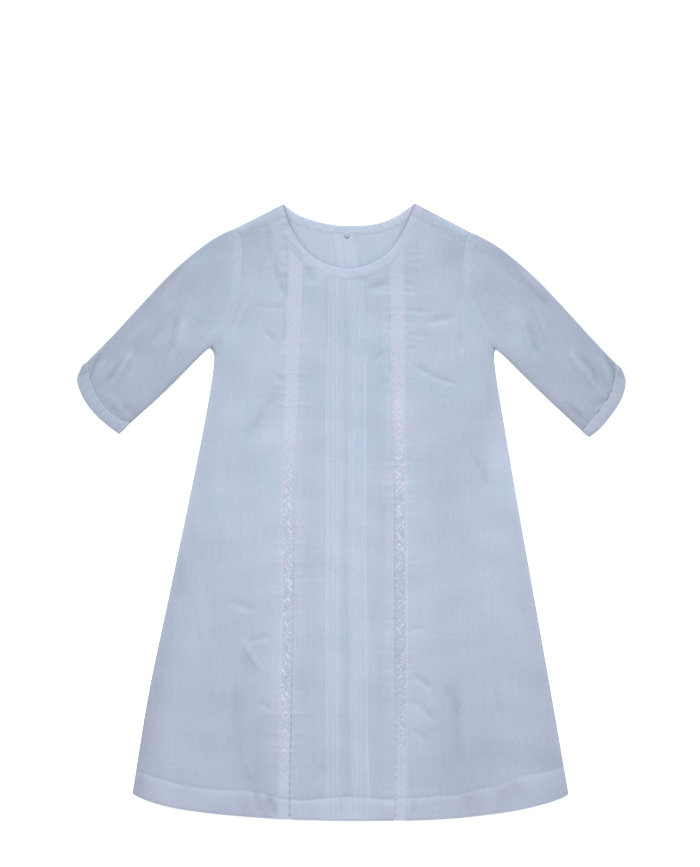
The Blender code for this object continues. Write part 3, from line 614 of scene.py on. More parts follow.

# %% [markdown]
# ## How light and dark the cloth is
# One layer of batiste over another looks lighter where a seam allowance, a hem or a
# facing adds more layers. Painted shade and painted light are added too: darker towards
# the folded edges, in crease hollows, beside the armholes and down the sleeves, paler on
# ridges, and broad soft patches of painted light and shade with some uneven tone among
# them. Each point of the cloth carries a number, its tone, that the finish multiplies its
# colour by. The broad soft patches are listed, and the rest is worked out from how far a
# point is from each seam. Painting an image would tie the cloth to one fineness, and
# numbers at the points of the mesh cost little.

# %% Tones
# x, y, half width, half height, change; the patches are partly painted light and painted shade, partly
# uneven tone
TONE_AND_SHADE_PATCHES = (
    # chest and shoulders
    (95, 228, 16, 16, -0.03), (107, 226, 5, 14, -0.03), (-83, 253, 9, 12, -0.02),
    (-86, 254, 9, 14, -0.03), (12, 158, 22, 6, 0.035), (12, 184, 16, 12, -0.02),
    (-60, 230, 7, 12, 0.05), (-68, 192, 8, 6, 0.045), (-104, 184, 5, 12, 0.05), (104, 190, 5, 18, 0.05),
    (-122, 152, 7, 7, -0.07), (129, 152, 7, 7, -0.07), (0, 186, 6, 14, -0.025),
    (-80, 250, 48, 38, -0.075), (84, 248, 48, 38, -0.075), (92, 232, 10, 14, -0.04),
    (-90, 236, 12, 16, -0.03), (-70, 252, 12, 14, 0.05), (63, 252, 12, 14, 0.05),
    (-104, 128, 11, 12, -0.055), (125, 114, 8, 22, -0.07), (90, 180, 15, 8, -0.05),
    (60, 110, 8, 40, 0.02), (17, 160, 10, 16, 0.035),
    # middle
    (128, 36, 8, 20, 0.04), (96, 60, 26, 60, -0.02), (131, 50, 9, 22, 0.07), (86, -42, 16, 20, -0.035),
    (120, 87, 12, 14, -0.03), (-8, 70, 2.2, 110, 0.045), (95, 55, 50, 55, -0.04),
    (-120, 88, 10, 16, -0.035), (-127, 42, 9, 26, -0.05), (-74, 50, 10, 70, 0.035),
    (142, 26, 11, 30, 0.08), (83, 6, 10, 14, -0.03), (25.5, -20, 5, 250, -0.025),
    (-36.5, -20, 6, 250, -0.015),
    # skirt
    (0, -228, 34, 20, 0.02), (-37, -236, 6, 14, -0.035), (26, -232, 6, 14, -0.035),
    (69, -243, 12, 7, -0.025), (134, -110, 16, 16, 0.025), (57, -124, 9, 12, 0.03),
    (92, -190, 5, 18, -0.03), (-118, -84, 26, 10, -0.03), (-118, -115, 13, 12, -0.025),
    (-141, -104, 5, 20, 0.04), (-170, -158, 6, 18, -0.03), (-88, -240, 10, 14, -0.04),
    (28, -138, 5, 20, -0.03), (-35, -137, 5, 14, -0.03), (166, -222, 26, 14, -0.06),
    (-67, -150, 6, 26, 0.045), (60, -188, 7, 16, 0.045), (0, -300, 400, 190, -0.1),
    (-130, -170, 60, 90, -0.04), (130, -170, 60, 90, -0.04), (-132, -62, 17, 28, -0.06),
    (-93, -150, 7, 24, -0.05), (-86, -222, 11, 42, -0.06), (-75, -258, 8, 16, -0.07),
    (87, -172, 9, 20, -0.06), (97, -232, 24, 20, -0.1), (-3, -90, 52, 130, 0.03),
    (-72, -120, 11, 120, 0.02), (64, -110, 12, 120, 0.025),
)

# %% Patches of painted light and painted shade on the hem, the sleeves and the cuffs
# patches of painted light and painted shade on the hem, with some uneven tone
HEM_TONE_AND_SHADE_PATCHES = (
    (-75, -263, 6, 12, -0.06), (145, -245, 12, 9, -0.07), (0, -268, 36, 12, 0.02),
    (185, -238, 8, 8, 0.05), (135, -258, 5, 12, -0.04), (-66, -270, 7, 6, -0.06),
    (-190, -244, 8, 12, -0.05), (-125, -255, 70, 30, -0.05), (-5, -272, 50, 20, 0.065),
    (125, -255, 70, 30, -0.06), (-165, -248, 13, 12, 0.03), (-120, -258, 20, 14, 0.025),
    (-97, -264, 5, 14, -0.05), (-152, -256, 4, 12, -0.03), (78, -264, 20, 14, 0.02),
    (109, -262, 6, 14, -0.05), (124, -254, 7, 12, 0.03), (161, -246, 7, 12, 0.03),
)
# painted light on the ridges of the sleeves' folds and painted shade beside them
SLEEVE_LIGHT_AND_SHADE_PATCHES = (
    (-146, 174, 6, 8, 0.04), (-158, 150, 4, 10, -0.03), (170, 150, 5, 9, 0.035),
    (154, 178, 4, 8, -0.04), (-215, 139, 8, 9, -0.06), (-198, 139, 4, 8, 0.05),
    (166, 187, 8, 11, -0.05), (153, 163, 7, 12, 0.04), (-152, 158, 6, 12, 0.03),
    (-154, 170, 9, 12, 0.06), (-190, 172, 26, 22, -0.03), (-214, 122, 13, 16, -0.045),
    (-122, 152, 7, 7, -0.07), (129, 152, 7, 7, -0.07), (-200, 90, 18, 14, -0.04),
    (150, 166, 9, 14, 0.06), (170, 194, 8, 12, 0.04), (216, 121, 13, 16, -0.08),
    (200, 90, 14, 12, -0.06),
)
# painted shade at the top corner of each cuff
CUFF_SHADE_PATCHES = ((-241, 128, 5, 6, -0.16), (242, 125, 5, 6, -0.16))
print(len(TONE_AND_SHADE_PATCHES + HEM_TONE_AND_SHADE_PATCHES + SLEEVE_LIGHT_AND_SHADE_PATCHES + CUFF_SHADE_PATCHES), "patches of tone")

# %% Tones and painted shade beside seams and edges
# painted shade where the cloth turns down at the side seams, stronger towards the hem
SIDE_SHADE = {  # darkening at the side seams: heights, shares, reach
    "left": ((-250.0, -173.0, -83.0, 7.0, 80.0), (0.24, 0.22, 0.13, 0.05, 0.03), 12.0),
    "right": ((-250.0, -173.0, -83.0, 7.0, 80.0), (0.14, 0.1, 0.06, 0.02, 0.02), 13.0),
}
LACE_SIDE_HEIGHTS = (-250.0, -200.0, -135.0, 10.0, 120.0, 180.0, 230.0)
LACE_SIDE_TONES = (0.02, 0.035, 0.075, 0.085, 0.06, 0.03, 0.0)
LACE_SIDE_REACH = 4.0  # of the paler cloth folded back beside the lace
# painted shade in crease hollows and painted light on their ridges:
CREASE_SHADE = 0.05  # change of tone for each millimetre of a crease
FACING_TONE = 0.03
EDGE_FROM_NECK = (12.0, 26.0, 40.0)  # distances along the shoulder, from the neck
# painted shade along the turned shoulder edge, strongest near the neck
SHOULDER_EDGE_SHADE = (0.45, 0.26, 0.18)  # darkening of its turned edge at each of them
SHOULDER_EDGE_REACH = 3.0
# painted shade beside the armholes
ARMHOLE_SHADE, ARMHOLE_REACH = 0.05, 9.0
SEAM_TONE = -0.04
# painted shade: the sleeve's tone falls from SLEEVE_TOP at the armhole to SLEEVE_LOW further out, over
# SLEEVE_FADE mm
SLEEVE_TOP, SLEEVE_LOW, SLEEVE_FADE = 0.96, 0.862, 26.0
CUFF_TONE = {"left": 0.86, "right": 0.9}
ALLOWANCE_TONE = 0.045
ALLOWANCE_WIDTH = 8.5


# %% Tone at a point of the cloth
def patches(x, y, table):
    total = np.ones_like(x)
    for centre_x, centre_y, half_width, half_height, change in table:
        far = ((x - centre_x) / half_width) ** 2 + ((y - centre_y) / half_height) ** 2
        total += change * np.exp(-far)
    return total


def painted_crease_shade(x, y):
    """Painted shade in the hollows of creases and painted light on their ridges: hollows a little darker,
    ridges a little paler.
    """
    return 1.0 + CREASE_SHADE * np.clip(crease_height(x, y, FRONT_CREASES), -1.6, 1.2)


# The upper layer's tone, with painted light and shade: the broad patches, painted shade in crease hollows
# and painted light on ridges, painted shade towards the side seams, on the turned shoulder edges and
# beside the armholes. The shoulder facings and the cloth beside the lace are paler for their extra
# layers.
def front_tone_and_shade(x, y):
    tone = patches(x, y, TONE_AND_SHADE_PATCHES) * painted_crease_shade(x, y)
    for side, _ in SIDES:
        heights, shares, reach = SIDE_SHADE[side]
        away = beside(SIDE_LINES[side], x, y)[0]
        tone *= 1.0 - np.interp(y, heights, shares) * np.exp(-((away / reach) ** 1.5))
        below = beside(SHOULDERS[side], x, y)[0] - SHOULDER_FACING
        facing = FACING_TONE * smooth_step(-below / 1.5)
        tone *= 1.0 + facing + SEAM_TONE * np.exp(-((below / 0.9) ** 2))
        from_neck = np.hypot(x - NECK_POINT[side][0], y - NECK_POINT[side][1])
        dark = np.interp(from_neck, EDGE_FROM_NECK, SHOULDER_EDGE_SHADE)
        tone *= 1.0 - dark * np.exp(-(below + SHOULDER_FACING) / SHOULDER_EDGE_REACH)
        from_armhole = beside(ARMHOLE_LINES[side], x, y)[0]
        tone *= 1.0 - ARMHOLE_SHADE * np.exp(-from_armhole / ARMHOLE_REACH)
        from_lace = np.maximum(np.abs(x - lace_x(side, y)) - LACE_WIDTH / 2, 0.0)
        beside_lace = np.interp(y, LACE_SIDE_HEIGHTS, LACE_SIDE_TONES)
        tone *= 1.0 + beside_lace * np.exp(-from_lace / LACE_SIDE_REACH)
    return tone


print("tone at the middle of the front:", front_tone_and_shade(np.zeros(1), np.zeros(1)).round(3))

# %% [markdown]
# ## From a grid to a piece of cloth
# A pattern piece has four edges, so a grid that blends between its edges covers it
# with no waste. The grid gets a height at each point and a second layer underneath,
# and the two are closed all round. Made this way, the cloth's thickness is a real
# number, and the mesh stays clean for the creases. A map in millimetres goes with it,
# turned to the way that the threads run.

# %% Grids
CLOTH = 0.36  # thickness of one layer as modelled


def anchored(edge, start, end, share):
    """The edge shifted by an amount that changes evenly, so that it runs from start to end."""
    share = share[:, None]
    return edge + (1 - share) * (start - edge[0]) + share * (end - edge[-1])


def patch(bottom, top, left, right, across=None):
    """A grid of points that blends between four edges. Left and right set its corners."""
    across = np.linspace(0, 1, len(bottom)) if across is None else across
    bottom = anchored(bottom, left[0], right[0], across)
    top = anchored(top, left[-1], right[-1], across)
    across = across[None, :, None]
    up = np.linspace(0, 1, len(left))[:, None, None]
    from_rows = (1 - up) * bottom[None] + up * top[None]
    from_sides = (1 - across) * left[:, None] + across * right[:, None]
    low_corners = (1 - across) * left[0] + across * right[0]
    high_corners = (1 - across) * left[-1] + across * right[-1]
    return from_rows + from_sides - (1 - up) * low_corners - up * high_corners


def upright(grid):
    """The grid with its columns in the order that makes its upper side face up."""
    across = grid[0, -1] - grid[0, 0]
    up = grid[-1, 0] - grid[0, 0]
    return grid if across[0] * up[1] - across[1] * up[0] > 0 else grid[:, ::-1]


# %% Shapes: points and faces
def sheet_shape(grid, top, bottom):
    """A closed sheet between two heights over a grid."""
    rows, columns = top.shape
    count = rows * columns
    points = [np.dstack([grid, level]).reshape(-1, 3) for level in (top, bottom)]
    index = np.arange(count).reshape(rows, columns)
    cells = np.stack([index[:-1, :-1], index[:-1, 1:], index[1:, 1:], index[1:, :-1]], -1)
    cells = cells.reshape(-1, 4)
    rim = np.concatenate([index[0], index[1:, -1], index[-1, -2::-1], index[-2:0:-1, 0]])
    after = np.roll(rim, -1)
    walls = np.stack([rim, rim + count, after + count, after], -1)
    return np.vstack(points), np.vstack([cells, cells[:, ::-1] + count, walls]).tolist()


def ribbon_shape(path, level, half_width, half_height):
    """A four-sided strip along a path, highest along its middle."""
    count = len(path)
    ahead = np.gradient(path, axis=0)
    ahead /= np.hypot(*ahead.T)[:, None]
    aside = np.column_stack([-ahead[:, 1], ahead[:, 0]])
    aside *= np.broadcast_to(half_width, count)[:, None]
    rise = np.broadcast_to(half_height, count)
    level = np.broadcast_to(level, count)
    corners = [
        np.column_stack([path + aside, level]),
        np.column_stack([path, level + rise]),
        np.column_stack([path - aside, level]),
        np.column_stack([path, level - rise]),
    ]
    points = np.stack(corners, 1).reshape(-1, 3)
    index = np.arange(count * 4).reshape(count, 4)
    after = np.roll(index, -1, axis=1)
    sides = np.stack([index[:-1], after[:-1], after[1:], index[1:]], -1).reshape(-1, 4)
    return points, [*sides.tolist(), index[0][::-1].tolist(), index[-1].tolist()]


# %% Stitches, and several shapes as one
def spindle_shape(middles, ahead, half_length, half_width, half_height):
    """Many short stitches, each a six-pointed spindle, as one shape."""
    aside = np.column_stack([-ahead[:, 1], ahead[:, 0], np.zeros(len(ahead))])
    forth = np.column_stack([ahead, np.zeros(len(ahead))])
    rise = np.array([0.0, 0.0, half_height])
    points = [
        middles - forth * half_length, middles + forth * half_length,
        middles + aside * half_width, middles - aside * half_width,
        middles + rise, middles - rise,
    ]
    sides = [(2, 0, 4), (1, 2, 4), (3, 1, 4), (0, 3, 4), (0, 2, 5), (2, 1, 5), (1, 3, 5), (3, 0, 5)]
    starts = 6 * np.arange(len(middles))[:, None, None]
    return np.stack(points, 1).reshape(-1, 3), (starts + np.array(sides)).reshape(-1, 3).tolist()


def together(shapes):
    """Several shapes as one."""
    points, faces, count = [], [], 0
    for some_points, some_faces in shapes:
        points.append(some_points)
        faces += [[corner + count for corner in face] for face in some_faces]
        count += len(some_points)
    return np.vstack(points), faces


# %% From a shape to an object
SHARP = math.radians(50)
made = {}


def add_piece(name, shape, finish, tone=1.0, thread_turn=0.0, sharp=SHARP):
    """An object of the gown, with its map of the threads and its tone."""
    points, faces = shape
    mesh = bpy.data.meshes.new(name)
    mesh.from_pydata((points * MM).tolist(), [], faces)
    corner_points = np.empty(len(mesh.loops), np.int32)
    mesh.loops.foreach_get("vertex_index", corner_points)
    turn = math.radians(thread_turn)
    across = points[:, 0] * math.cos(turn) + points[:, 1] * math.sin(turn)
    along = points[:, 1] * math.cos(turn) - points[:, 0] * math.sin(turn)
    threads = np.column_stack([across, along]).astype(np.float32)
    layer = mesh.uv_layers.new(name="threads")
    layer.uv.foreach_set("vector", threads[corner_points].ravel())
    tones = mesh.attributes.new("tone", "FLOAT", "POINT")
    tones.data.foreach_set("value", np.broadcast_to(tone, len(points)).astype(np.float32))
    mesh.shade_smooth()
    mesh.set_sharp_from_angle(angle=sharp)
    mesh.materials.append(finish)
    piece = bpy.data.objects.new(name, mesh)
    scene.collection.objects.link(piece)
    made[name] = sum(len(face) - 2 for face in faces)
    return piece


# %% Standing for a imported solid, and flat area
def stands_for(piece, node):
    """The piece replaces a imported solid, and moves with the gown's one body."""
    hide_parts(node)
    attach(piece, "root")


def flat_area(grid):
    """Area of a grid in square metres."""
    diagonal = grid[1:, 1:] - grid[:-1, :-1]
    other = grid[1:, :-1] - grid[:-1, 1:]
    cross = diagonal[..., 0] * other[..., 1] - diagonal[..., 1] * other[..., 0]
    return float(np.abs(cross).sum() / 2) * MM * MM


# %% [markdown]
# ## Batiste
# Batiste is about 30 threads to the centimetre, too fine to see one by one from here.
# What shows is uneven thread: a thicker thread now and then makes a faint streak along
# or across the cloth. So the finish has a plain weave at its true pitch as relief, two
# sets of long thin noise for the streaks, and a slow drift between a cooler and a
# warmer blue. It could be one flat colour with a bump, but then it looks like plastic.

# %% A recipe that builds a finish node by node
class Recipe:
    def __init__(self, name):
        self.material = bpy.data.materials.new(name)
        self.material.use_nodes = True
        self.tree = self.material.node_tree
        self.shader = self.tree.nodes["Principled BSDF"]

    def feed(self, socket, value):
        """Sets an input to a number, or joins it to another node's output."""
        if isinstance(value, bpy.types.NodeSocket):
            self.tree.links.new(value, socket)
        else:
            socket.default_value = value

    def node(self, kind, settings=(), inputs=()):
        made_node = self.tree.nodes.new(kind)
        for key, value in dict(settings).items():
            setattr(made_node, key, value)
        for key, value in dict(inputs).items():
            self.feed(made_node.inputs[key], value)
        return made_node

    def sum(self, operation, first, second=0.0):
        return self.node("ShaderNodeMath", {"operation": operation}, {0: first, 1: second}).outputs[0]

    def scaled(self, value, low, high):
        """A value from 0 to 1 brought to between low and high."""
        return self.sum("ADD", self.sum("MULTIPLY", value, high - low), low)

    def threads(self):
        return self.node("ShaderNodeUVMap", {"uv_map": "threads"}).outputs["UV"]

    def noise(self, place, scale, detail=2.0):
        """Noise over the threads' map, stretched by its own scale in each direction."""
        spread = self.node("ShaderNodeMapping", (), {"Vector": place, "Scale": scale})
        inputs = {"Vector": spread.outputs[0], "Scale": 1.0, "Detail": detail}
        return self.node("ShaderNodeTexNoise", {"noise_dimensions": "2D"}, inputs).outputs[0]

    def weave(self, place, pitch):
        """Over and under, at the pitch of the threads in millimetres."""
        parts = self.node("ShaderNodeSeparateXYZ", (), {0: place})
        waves = [
            self.sum("SINE", self.sum("MULTIPLY", parts.outputs[axis], math.tau / pitch))
            for axis in (0, 1)
        ]
        return self.sum("MULTIPLY", *waves)

    def between(self, amount, first, second):
        """A colour between two, mixed by an amount. A Mix node's colours are its inputs 6 and 7."""
        inputs = {0: amount, 6: (*first, 1.0), 7: (*second, 1.0)}
        return self.node("ShaderNodeMix", {"data_type": "RGBA"}, inputs).outputs[2]

    def shaded(self, colour, amount):
        """A colour multiplied by a number."""
        inputs = {"Vector": colour, "Scale": amount}
        return self.node("ShaderNodeVectorMath", {"operation": "SCALE"}, inputs).outputs[0]

    def relief(self, height, strength, distance):
        inputs = {"Height": height, "Strength": strength, "Distance": distance}
        bump = self.node("ShaderNodeBump", (), inputs)
        self.feed(self.shader.inputs["Normal"], bump.outputs[0])

    def tone(self):
        return self.node("ShaderNodeAttribute", {"attribute_name": "tone"}).outputs["Fac"]


# %% The cotton finishes
THREAD_PITCH = 0.32  # two threads, in millimetres
CLOTH_ROUGHNESS = (0.80, 0.92)
CLOTH_SHEEN = 0.1


def cotton(name, cool, warm, streak, relief):
    """Woven cotton that drifts between two blues, with faint streaks both ways."""
    recipe = Recipe(name)
    place = recipe.threads()
    warp = recipe.noise(place, (0.62, 0.016, 1.0), 3.0)
    weft = recipe.sum("MULTIPLY", recipe.noise(place, (0.02, 0.55, 1.0), 3.0), 0.5)
    cloudy = recipe.noise(place, (0.03, 0.022, 1.0), 3.0)
    flecks = recipe.noise(place, (0.32, 0.32, 1.0), 4.0)
    streaks = recipe.sum("ADD", warp, weft)
    shade = recipe.scaled(streaks, 1.0 - streak, 1.0 + streak)
    shade = recipe.sum("SUBTRACT", shade, 0.5 * streak)
    shade = recipe.sum("MULTIPLY", shade, recipe.scaled(cloudy, 0.97, 1.03))
    shade = recipe.sum("MULTIPLY", shade, recipe.scaled(flecks, 0.94, 1.06))
    shade = recipe.sum("MULTIPLY", shade, recipe.tone())
    down = recipe.node("ShaderNodeSeparateXYZ", (), {0: place}).outputs[1]
    drift = recipe.sum("MULTIPLY_ADD", down, -0.0014)
    blotches = recipe.sum("ADD", recipe.scaled(cloudy, -1.0, 1.5), recipe.scaled(flecks, -0.8, 0.8))
    colour = recipe.between(recipe.sum("ADD", blotches, drift), cool, warm)
    recipe.feed(recipe.shader.inputs["Base Color"], recipe.shaded(colour, shade))
    height = recipe.sum("ADD", recipe.sum("MULTIPLY", recipe.weave(place, THREAD_PITCH), 0.3), streaks)
    height = recipe.sum("ADD", height, flecks)
    recipe.relief(height, relief, 0.0001)
    recipe.feed(recipe.shader.inputs["Roughness"], recipe.scaled(flecks, *CLOTH_ROUGHNESS))
    recipe.shader.inputs["Sheen Weight"].default_value = CLOTH_SHEEN
    recipe.shader.inputs["Sheen Roughness"].default_value = 0.5
    recipe.shader.inputs["Specular IOR Level"].default_value = 0.15
    return recipe.material


batiste = cotton("batiste", (0.349, 0.4145, 0.5095), (0.370, 0.4115, 0.5115), 0.045, 0.35)
batiste_doubled = cotton("batiste_doubled", (0.356, 0.4135, 0.511), (0.376, 0.4115, 0.514), 0.04, 0.35)
print("cotton finishes:", batiste.name, batiste_doubled.name)

# %% [markdown]
# ## The side panels of the front
# Each plain side runs from the hem's fold up to the shoulder, from the side seam and
# armhole in to the lace and the neck binding. It is the widest cloth on show, so its
# grid is fine enough, under 2 mm, for the small creases beside the lace. A plane cut
# to shape would leave ragged cells along the seams, and a grid that blends between its
# four edges follows them exactly. Its outer edge turns down to meet the back.

# %% Side panels
PANEL_ROWS = 300
SIDE_COLUMNS = 74


def side_grid(side, sign):
    seam = side_seam(side)
    low = share_where(seam, above_hem(seam), HEM_DEPTH - LAP)
    armhole = stretch(armhole_seam(side), 1, 0, 80)
    outer = in_steps([stretch(seam, low, 1, 200), armhole], PANEL_ROWS)
    lace = between(lace_edge(side, sign, -LAP / 2), HEM_DEPTH - LAP)
    neck_end = {"left": 0.0, "right": 1.0}[side]
    neck_start = share_where(FRONT_SEAM, FRONT_SEAM[:, 0], lace[-1, 0])
    neck = stretch(FRONT_SEAM, neck_start, neck_end, 60)
    inner = in_steps([lace, neck], PANEL_ROWS)
    hem = hem_line(outer[0, 0], inner[0, 0], HEM_DEPTH - LAP, SIDE_COLUMNS)
    shoulder = straight(outer[-1], inner[-1], SIDE_COLUMNS)
    return upright(patch(hem, shoulder, outer, inner))


def cloth_over(name, grid, height, tone, finish, thickness=CLOTH, thread_turn=0.0):
    """A closed sheet of cloth over a grid, with a height and a tone at each point."""
    x, y = grid[..., 0], grid[..., 1]
    top = height(x, y)
    shape = sheet_shape(grid, top, top - thickness)
    return add_piece(name, shape, finish, np.tile(tone(x, y).ravel(), 2), thread_turn)


fronts = {}
for side, sign in SIDES:
    grid = side_grid(side, sign)
    front = cloth_over("gown_front_" + side, grid, front_height, front_tone_and_shade, batiste)
    stands_for(front, "front_side_" + side)
    fronts[side] = (front, grid)
    print(front.name, made[front.name], "triangles,", round(flat_area(grid), 4), "square metres")

# %% [markdown]
# ## The centre panel
# The middle of the front lies between the two lace insertions, under the neck binding.
# Behind it the faced slit of the back shows through as a slightly paler strip. The
# cloth could be made a little see-through, but then every layer behind would have to
# be right, so the strip is a change of this panel's tone.

# %% Centre panel
CENTRE_COLUMNS = 54
TUCK_GROUPS = ((-24.0, -7.5), (-3.0, 15.5))
GROUP_HEIGHTS = (-200.0, 0.0, 120.0, 190.0)
GROUP_TONES = (0.06, 0.075, 0.05, 0.03)  # how much paler the tucks are there
GROUP_SPREAD, SPREAD_FROM, SPREAD_OVER = 3.5, -40.0, 260.0  # the groups widen towards the hem
# painted shade between the two groups of tucks
VALLEY_SHADE, VALLEY_X, VALLEY_HALF = -0.03, -5.2, 2.4  # between the two groups
STRIP_TONE = 0.02


SLIT_TOP_Y = float(back_neck_y(OPENING_X))
SLIT_FOOT_Y = SLIT_TOP_Y - OPENING_LENGTH


def slit_x(y, offset=0.0):
    """The leaning slit of the back at a height."""
    return OPENING_X + OPENING_LEAN * (SLIT_TOP_Y - y) / OPENING_LENGTH + offset


# The centre's tone: the front's tone with its painted light and shade, paler tucks, painted shade between
# the tuck groups, and the paler strip of the slit behind.
def centre_tone_and_shade(x, y):
    tone = front_tone_and_shade(x, y)
    lean = np.clip((SPREAD_FROM - y) / SPREAD_OVER, 0.0, 1.0) * GROUP_SPREAD
    for (low, high), shift in zip(TUCK_GROUPS, (0.0, 1.0)):
        from_low, from_high = x - low - shift * lean, high + shift * lean - x
        inside = smooth_step(from_low / 3.0) * smooth_step(from_high / 3.0)
        tone += np.interp(y, GROUP_HEIGHTS, GROUP_TONES) * inside
    valley = (x - VALLEY_X - 0.6 * lean) / VALLEY_HALF
    tone += VALLEY_SHADE * np.exp(-(valley**4))
    left = slit_x(y, -UNDERLAP)
    right = slit_x(y, OVERLAP)
    strip = smooth_step((x - left) / 1.5) * smooth_step((right - x) / 1.5) * (y > SLIT_FOOT_Y)
    return tone + STRIP_TONE * strip


# %% Cut the centre panel
left_line = between(lace_edge("left", 1, -LAP / 2), HEM_DEPTH - LAP)
right_line = between(lace_edge("right", -1, -LAP / 2), HEM_DEPTH - LAP)
left_line = stretch(left_line, 0, 1, PANEL_ROWS)
right_line = stretch(right_line, 0, 1, PANEL_ROWS)
neck_shares = [share_where(FRONT_SEAM, FRONT_SEAM[:, 0], line[-1, 0]) for line in (left_line, right_line)]
neck = stretch(FRONT_SEAM, *neck_shares, CENTRE_COLUMNS)
hem = hem_line(left_line[0, 0], right_line[0, 0], HEM_DEPTH - LAP, CENTRE_COLUMNS)
centre_grid = patch(hem, neck, left_line, right_line)
centre = cloth_over("gown_front_centre", centre_grid, front_height, centre_tone_and_shade, batiste)
stands_for(centre, "front_centre")
print(centre.name, made[centre.name], "triangles")

# %% [markdown]
# ## Pintucks
# A pintuck is a narrow fold stitched along its foot and pressed to one side. Eight of
# them run down the centre, in two groups of four pressed away from each other. A
# sweep of a low lopsided section does it: rounded and steep at the folded edge, and
# sloping to nothing at the stitched side. A line of relief in the finish would do from
# afar, but a real fold casts its own thin shadow.

# %% Pintucks
TUCK_RISE = 0.42
TUCK_SECTION = ((0.0, 0.1), (0.2, 0.72), (0.42, 1.0), (0.72, 0.5), (1.0, 0.04))  # from the fold
TUCK_ROWS = 330
TUCK_SINK = 0.12
TUCK_FOOT_LEVEL = 7.0  # above the hem's edge, so under its top
OUTER_STAND, INNER_STAND = 1.2, 0.7  # how much of TUCK_RISE the tucks stand up
# The outer tucks are painted paler as a painted highlight where they stand up most; OUTER_FADE dulls that
# highlight near the neck.
OUTER_FADE, FADE_FROM, FADE_OVER = 0.09, 125.0, 40.0  # the outer ones are duller near the neck
TUCK_TONES = {  # the outer folds stand up most and catch the light
    "tuck_left_outer": 1.11,
    "tuck_left_second": 1.0,
    "tuck_left_third": 1.02,
    "tuck_left_inner": 1.0,
    "tuck_right_inner": 1.03,
    "tuck_right_third": 1.02,
    "tuck_right_second": 1.0,
    "tuck_right_outer": 1.1,
}

# %% Sew the pintucks
for place, (node, hem_x, neck_x) in enumerate(TUCKS):
    middle = smooth_line(((hem_x, TUCK_BOTTOM_Y), (neck_x, TUCK_MIDDLE_Y), (neck_x, TUCK_TOP_Y)))
    middle = stretch(between(middle, TUCK_FOOT_LEVEL), 0, 1, TUCK_ROWS)
    pressed = -1 if "left" in node else 1
    outer = "outer" in node
    wander = ripples(middle[:, 1], middle[:, 1] * 0.0, 60 + place, 0.12, 20, 60)
    shares, rises = np.array(TUCK_SECTION).T
    offsets = pressed * TUCK_WIDTH * (0.5 - shares) + wander[:, None]
    grid = middle[:, None, :] + np.stack([offsets, 0 * offsets], -1)
    flip = grid[0, 0, 0] > grid[0, -1, 0]
    grid = grid[:, ::-1] if flip else grid
    rise = TUCK_RISE * (rises[::-1] if flip else rises)
    base = front_height(grid[..., 0], grid[..., 1])
    fading = 1.0 - OUTER_FADE * outer * smooth_step((grid[..., 1] - FADE_FROM) / FADE_OVER)
    tone = TUCK_TONES[node] * fading * centre_tone_and_shade(grid[..., 0], grid[..., 1])
    stand = OUTER_STAND if outer else INNER_STAND
    shape = sheet_shape(grid, base + rise * stand, base - TUCK_SINK)
    tuck = add_piece("pin" + node, shape, batiste, np.tile(tone.ravel(), 2), sharp=math.radians(75))
    stands_for(tuck, node)

# %% [markdown]
# ## The hem
# The front's hem is turned up by 17 to 30 mm, more at one side than the other, and
# stitched. It is one more layer, so it looks slightly paler, and the stitches draw
# small puckers into it. The lace runs on through it to the edge, which parts the hem
# into three. Each part is a thicker sheet of its own, a little above the panel, so
# that the step at its top can be seen.

# %% Front hem
HEM_TONE = 1.02
HEM_TOP_TONE = 0.065  # the top of the hem holds one more fold
HEM_COLUMNS_PER_MM = 0.55
HEM_THICK = 0.8
HEM_LIFT = 0.16
HEM_FOLD_DROP, HEM_FOLD_REACH = 0.3, 2.0


def hem_height(x, y):
    """The hem lies a little over the panel, and is rounded at its folded edge."""
    from_fold = np.clip((y - hem_y(x)) / HEM_FOLD_REACH, 0, 1)
    return front_height(x, y) + HEM_LIFT - HEM_FOLD_DROP * (1.0 - from_fold) ** 2


# The hem's tone: paler for its extra layer, times the front's tone with its painted light and shade and
# the hem's own patches of painted light and shade.
def hem_tone(x, y):
    patchy = ripples(x, y, 33, 0.012, 14, 50)
    from_top = np.maximum(HEM_DEPTH - above_hem(np.stack([x, y], -1)), 0.0)
    patchy += HEM_TOP_TONE * np.exp(-((from_top / 5.0) ** 2))
    return front_tone_and_shade(x, y) * patches(x, y, HEM_TONE_AND_SHADE_PATCHES) * (HEM_TONE + patchy)


def hem_grid(left_edge, right_edge):
    """A grid over the hem between two edges that rise from its fold."""
    left, right = within_hem(left_edge), within_hem(right_edge)
    columns = int(HEM_COLUMNS_PER_MM * (right[0, 0] - left[0, 0]))
    low = hem_line(left[0, 0], right[0, 0], 0.0, columns)
    high = hem_line(left[-1, 0], right[-1, 0], HEM_DEPTH, columns)
    return patch(low, high, left, right)


# %% The three parts of the front hem
hem_edges = {
    "left": (side_seam("left"), lace_edge("left", -1, -LAP / 2)),
    "centre": (lace_edge("left", 1, -LAP / 2), lace_edge("right", -1, -LAP / 2)),
    "right": (lace_edge("right", 1, -LAP / 2), side_seam("right")),
}
for place, edges in hem_edges.items():
    name = "hem_band_" + place
    band = cloth_over(name, hem_grid(*edges), hem_height, hem_tone, batiste_doubled, HEM_THICK)
    stands_for(band, "hem_front_" + place)

# %% [markdown]
# ## The back
# The back is cut in one and lies flat on the surface. A faced slit runs down from the
# neck, leaning a little, and closes with one stud. Only its top shows, inside the neck,
# but the other side is seen when the gown is turned over, so it has creases of its
# own. One grid can't hold a cut, so it is two that meet along the middle and part at
# the slit.

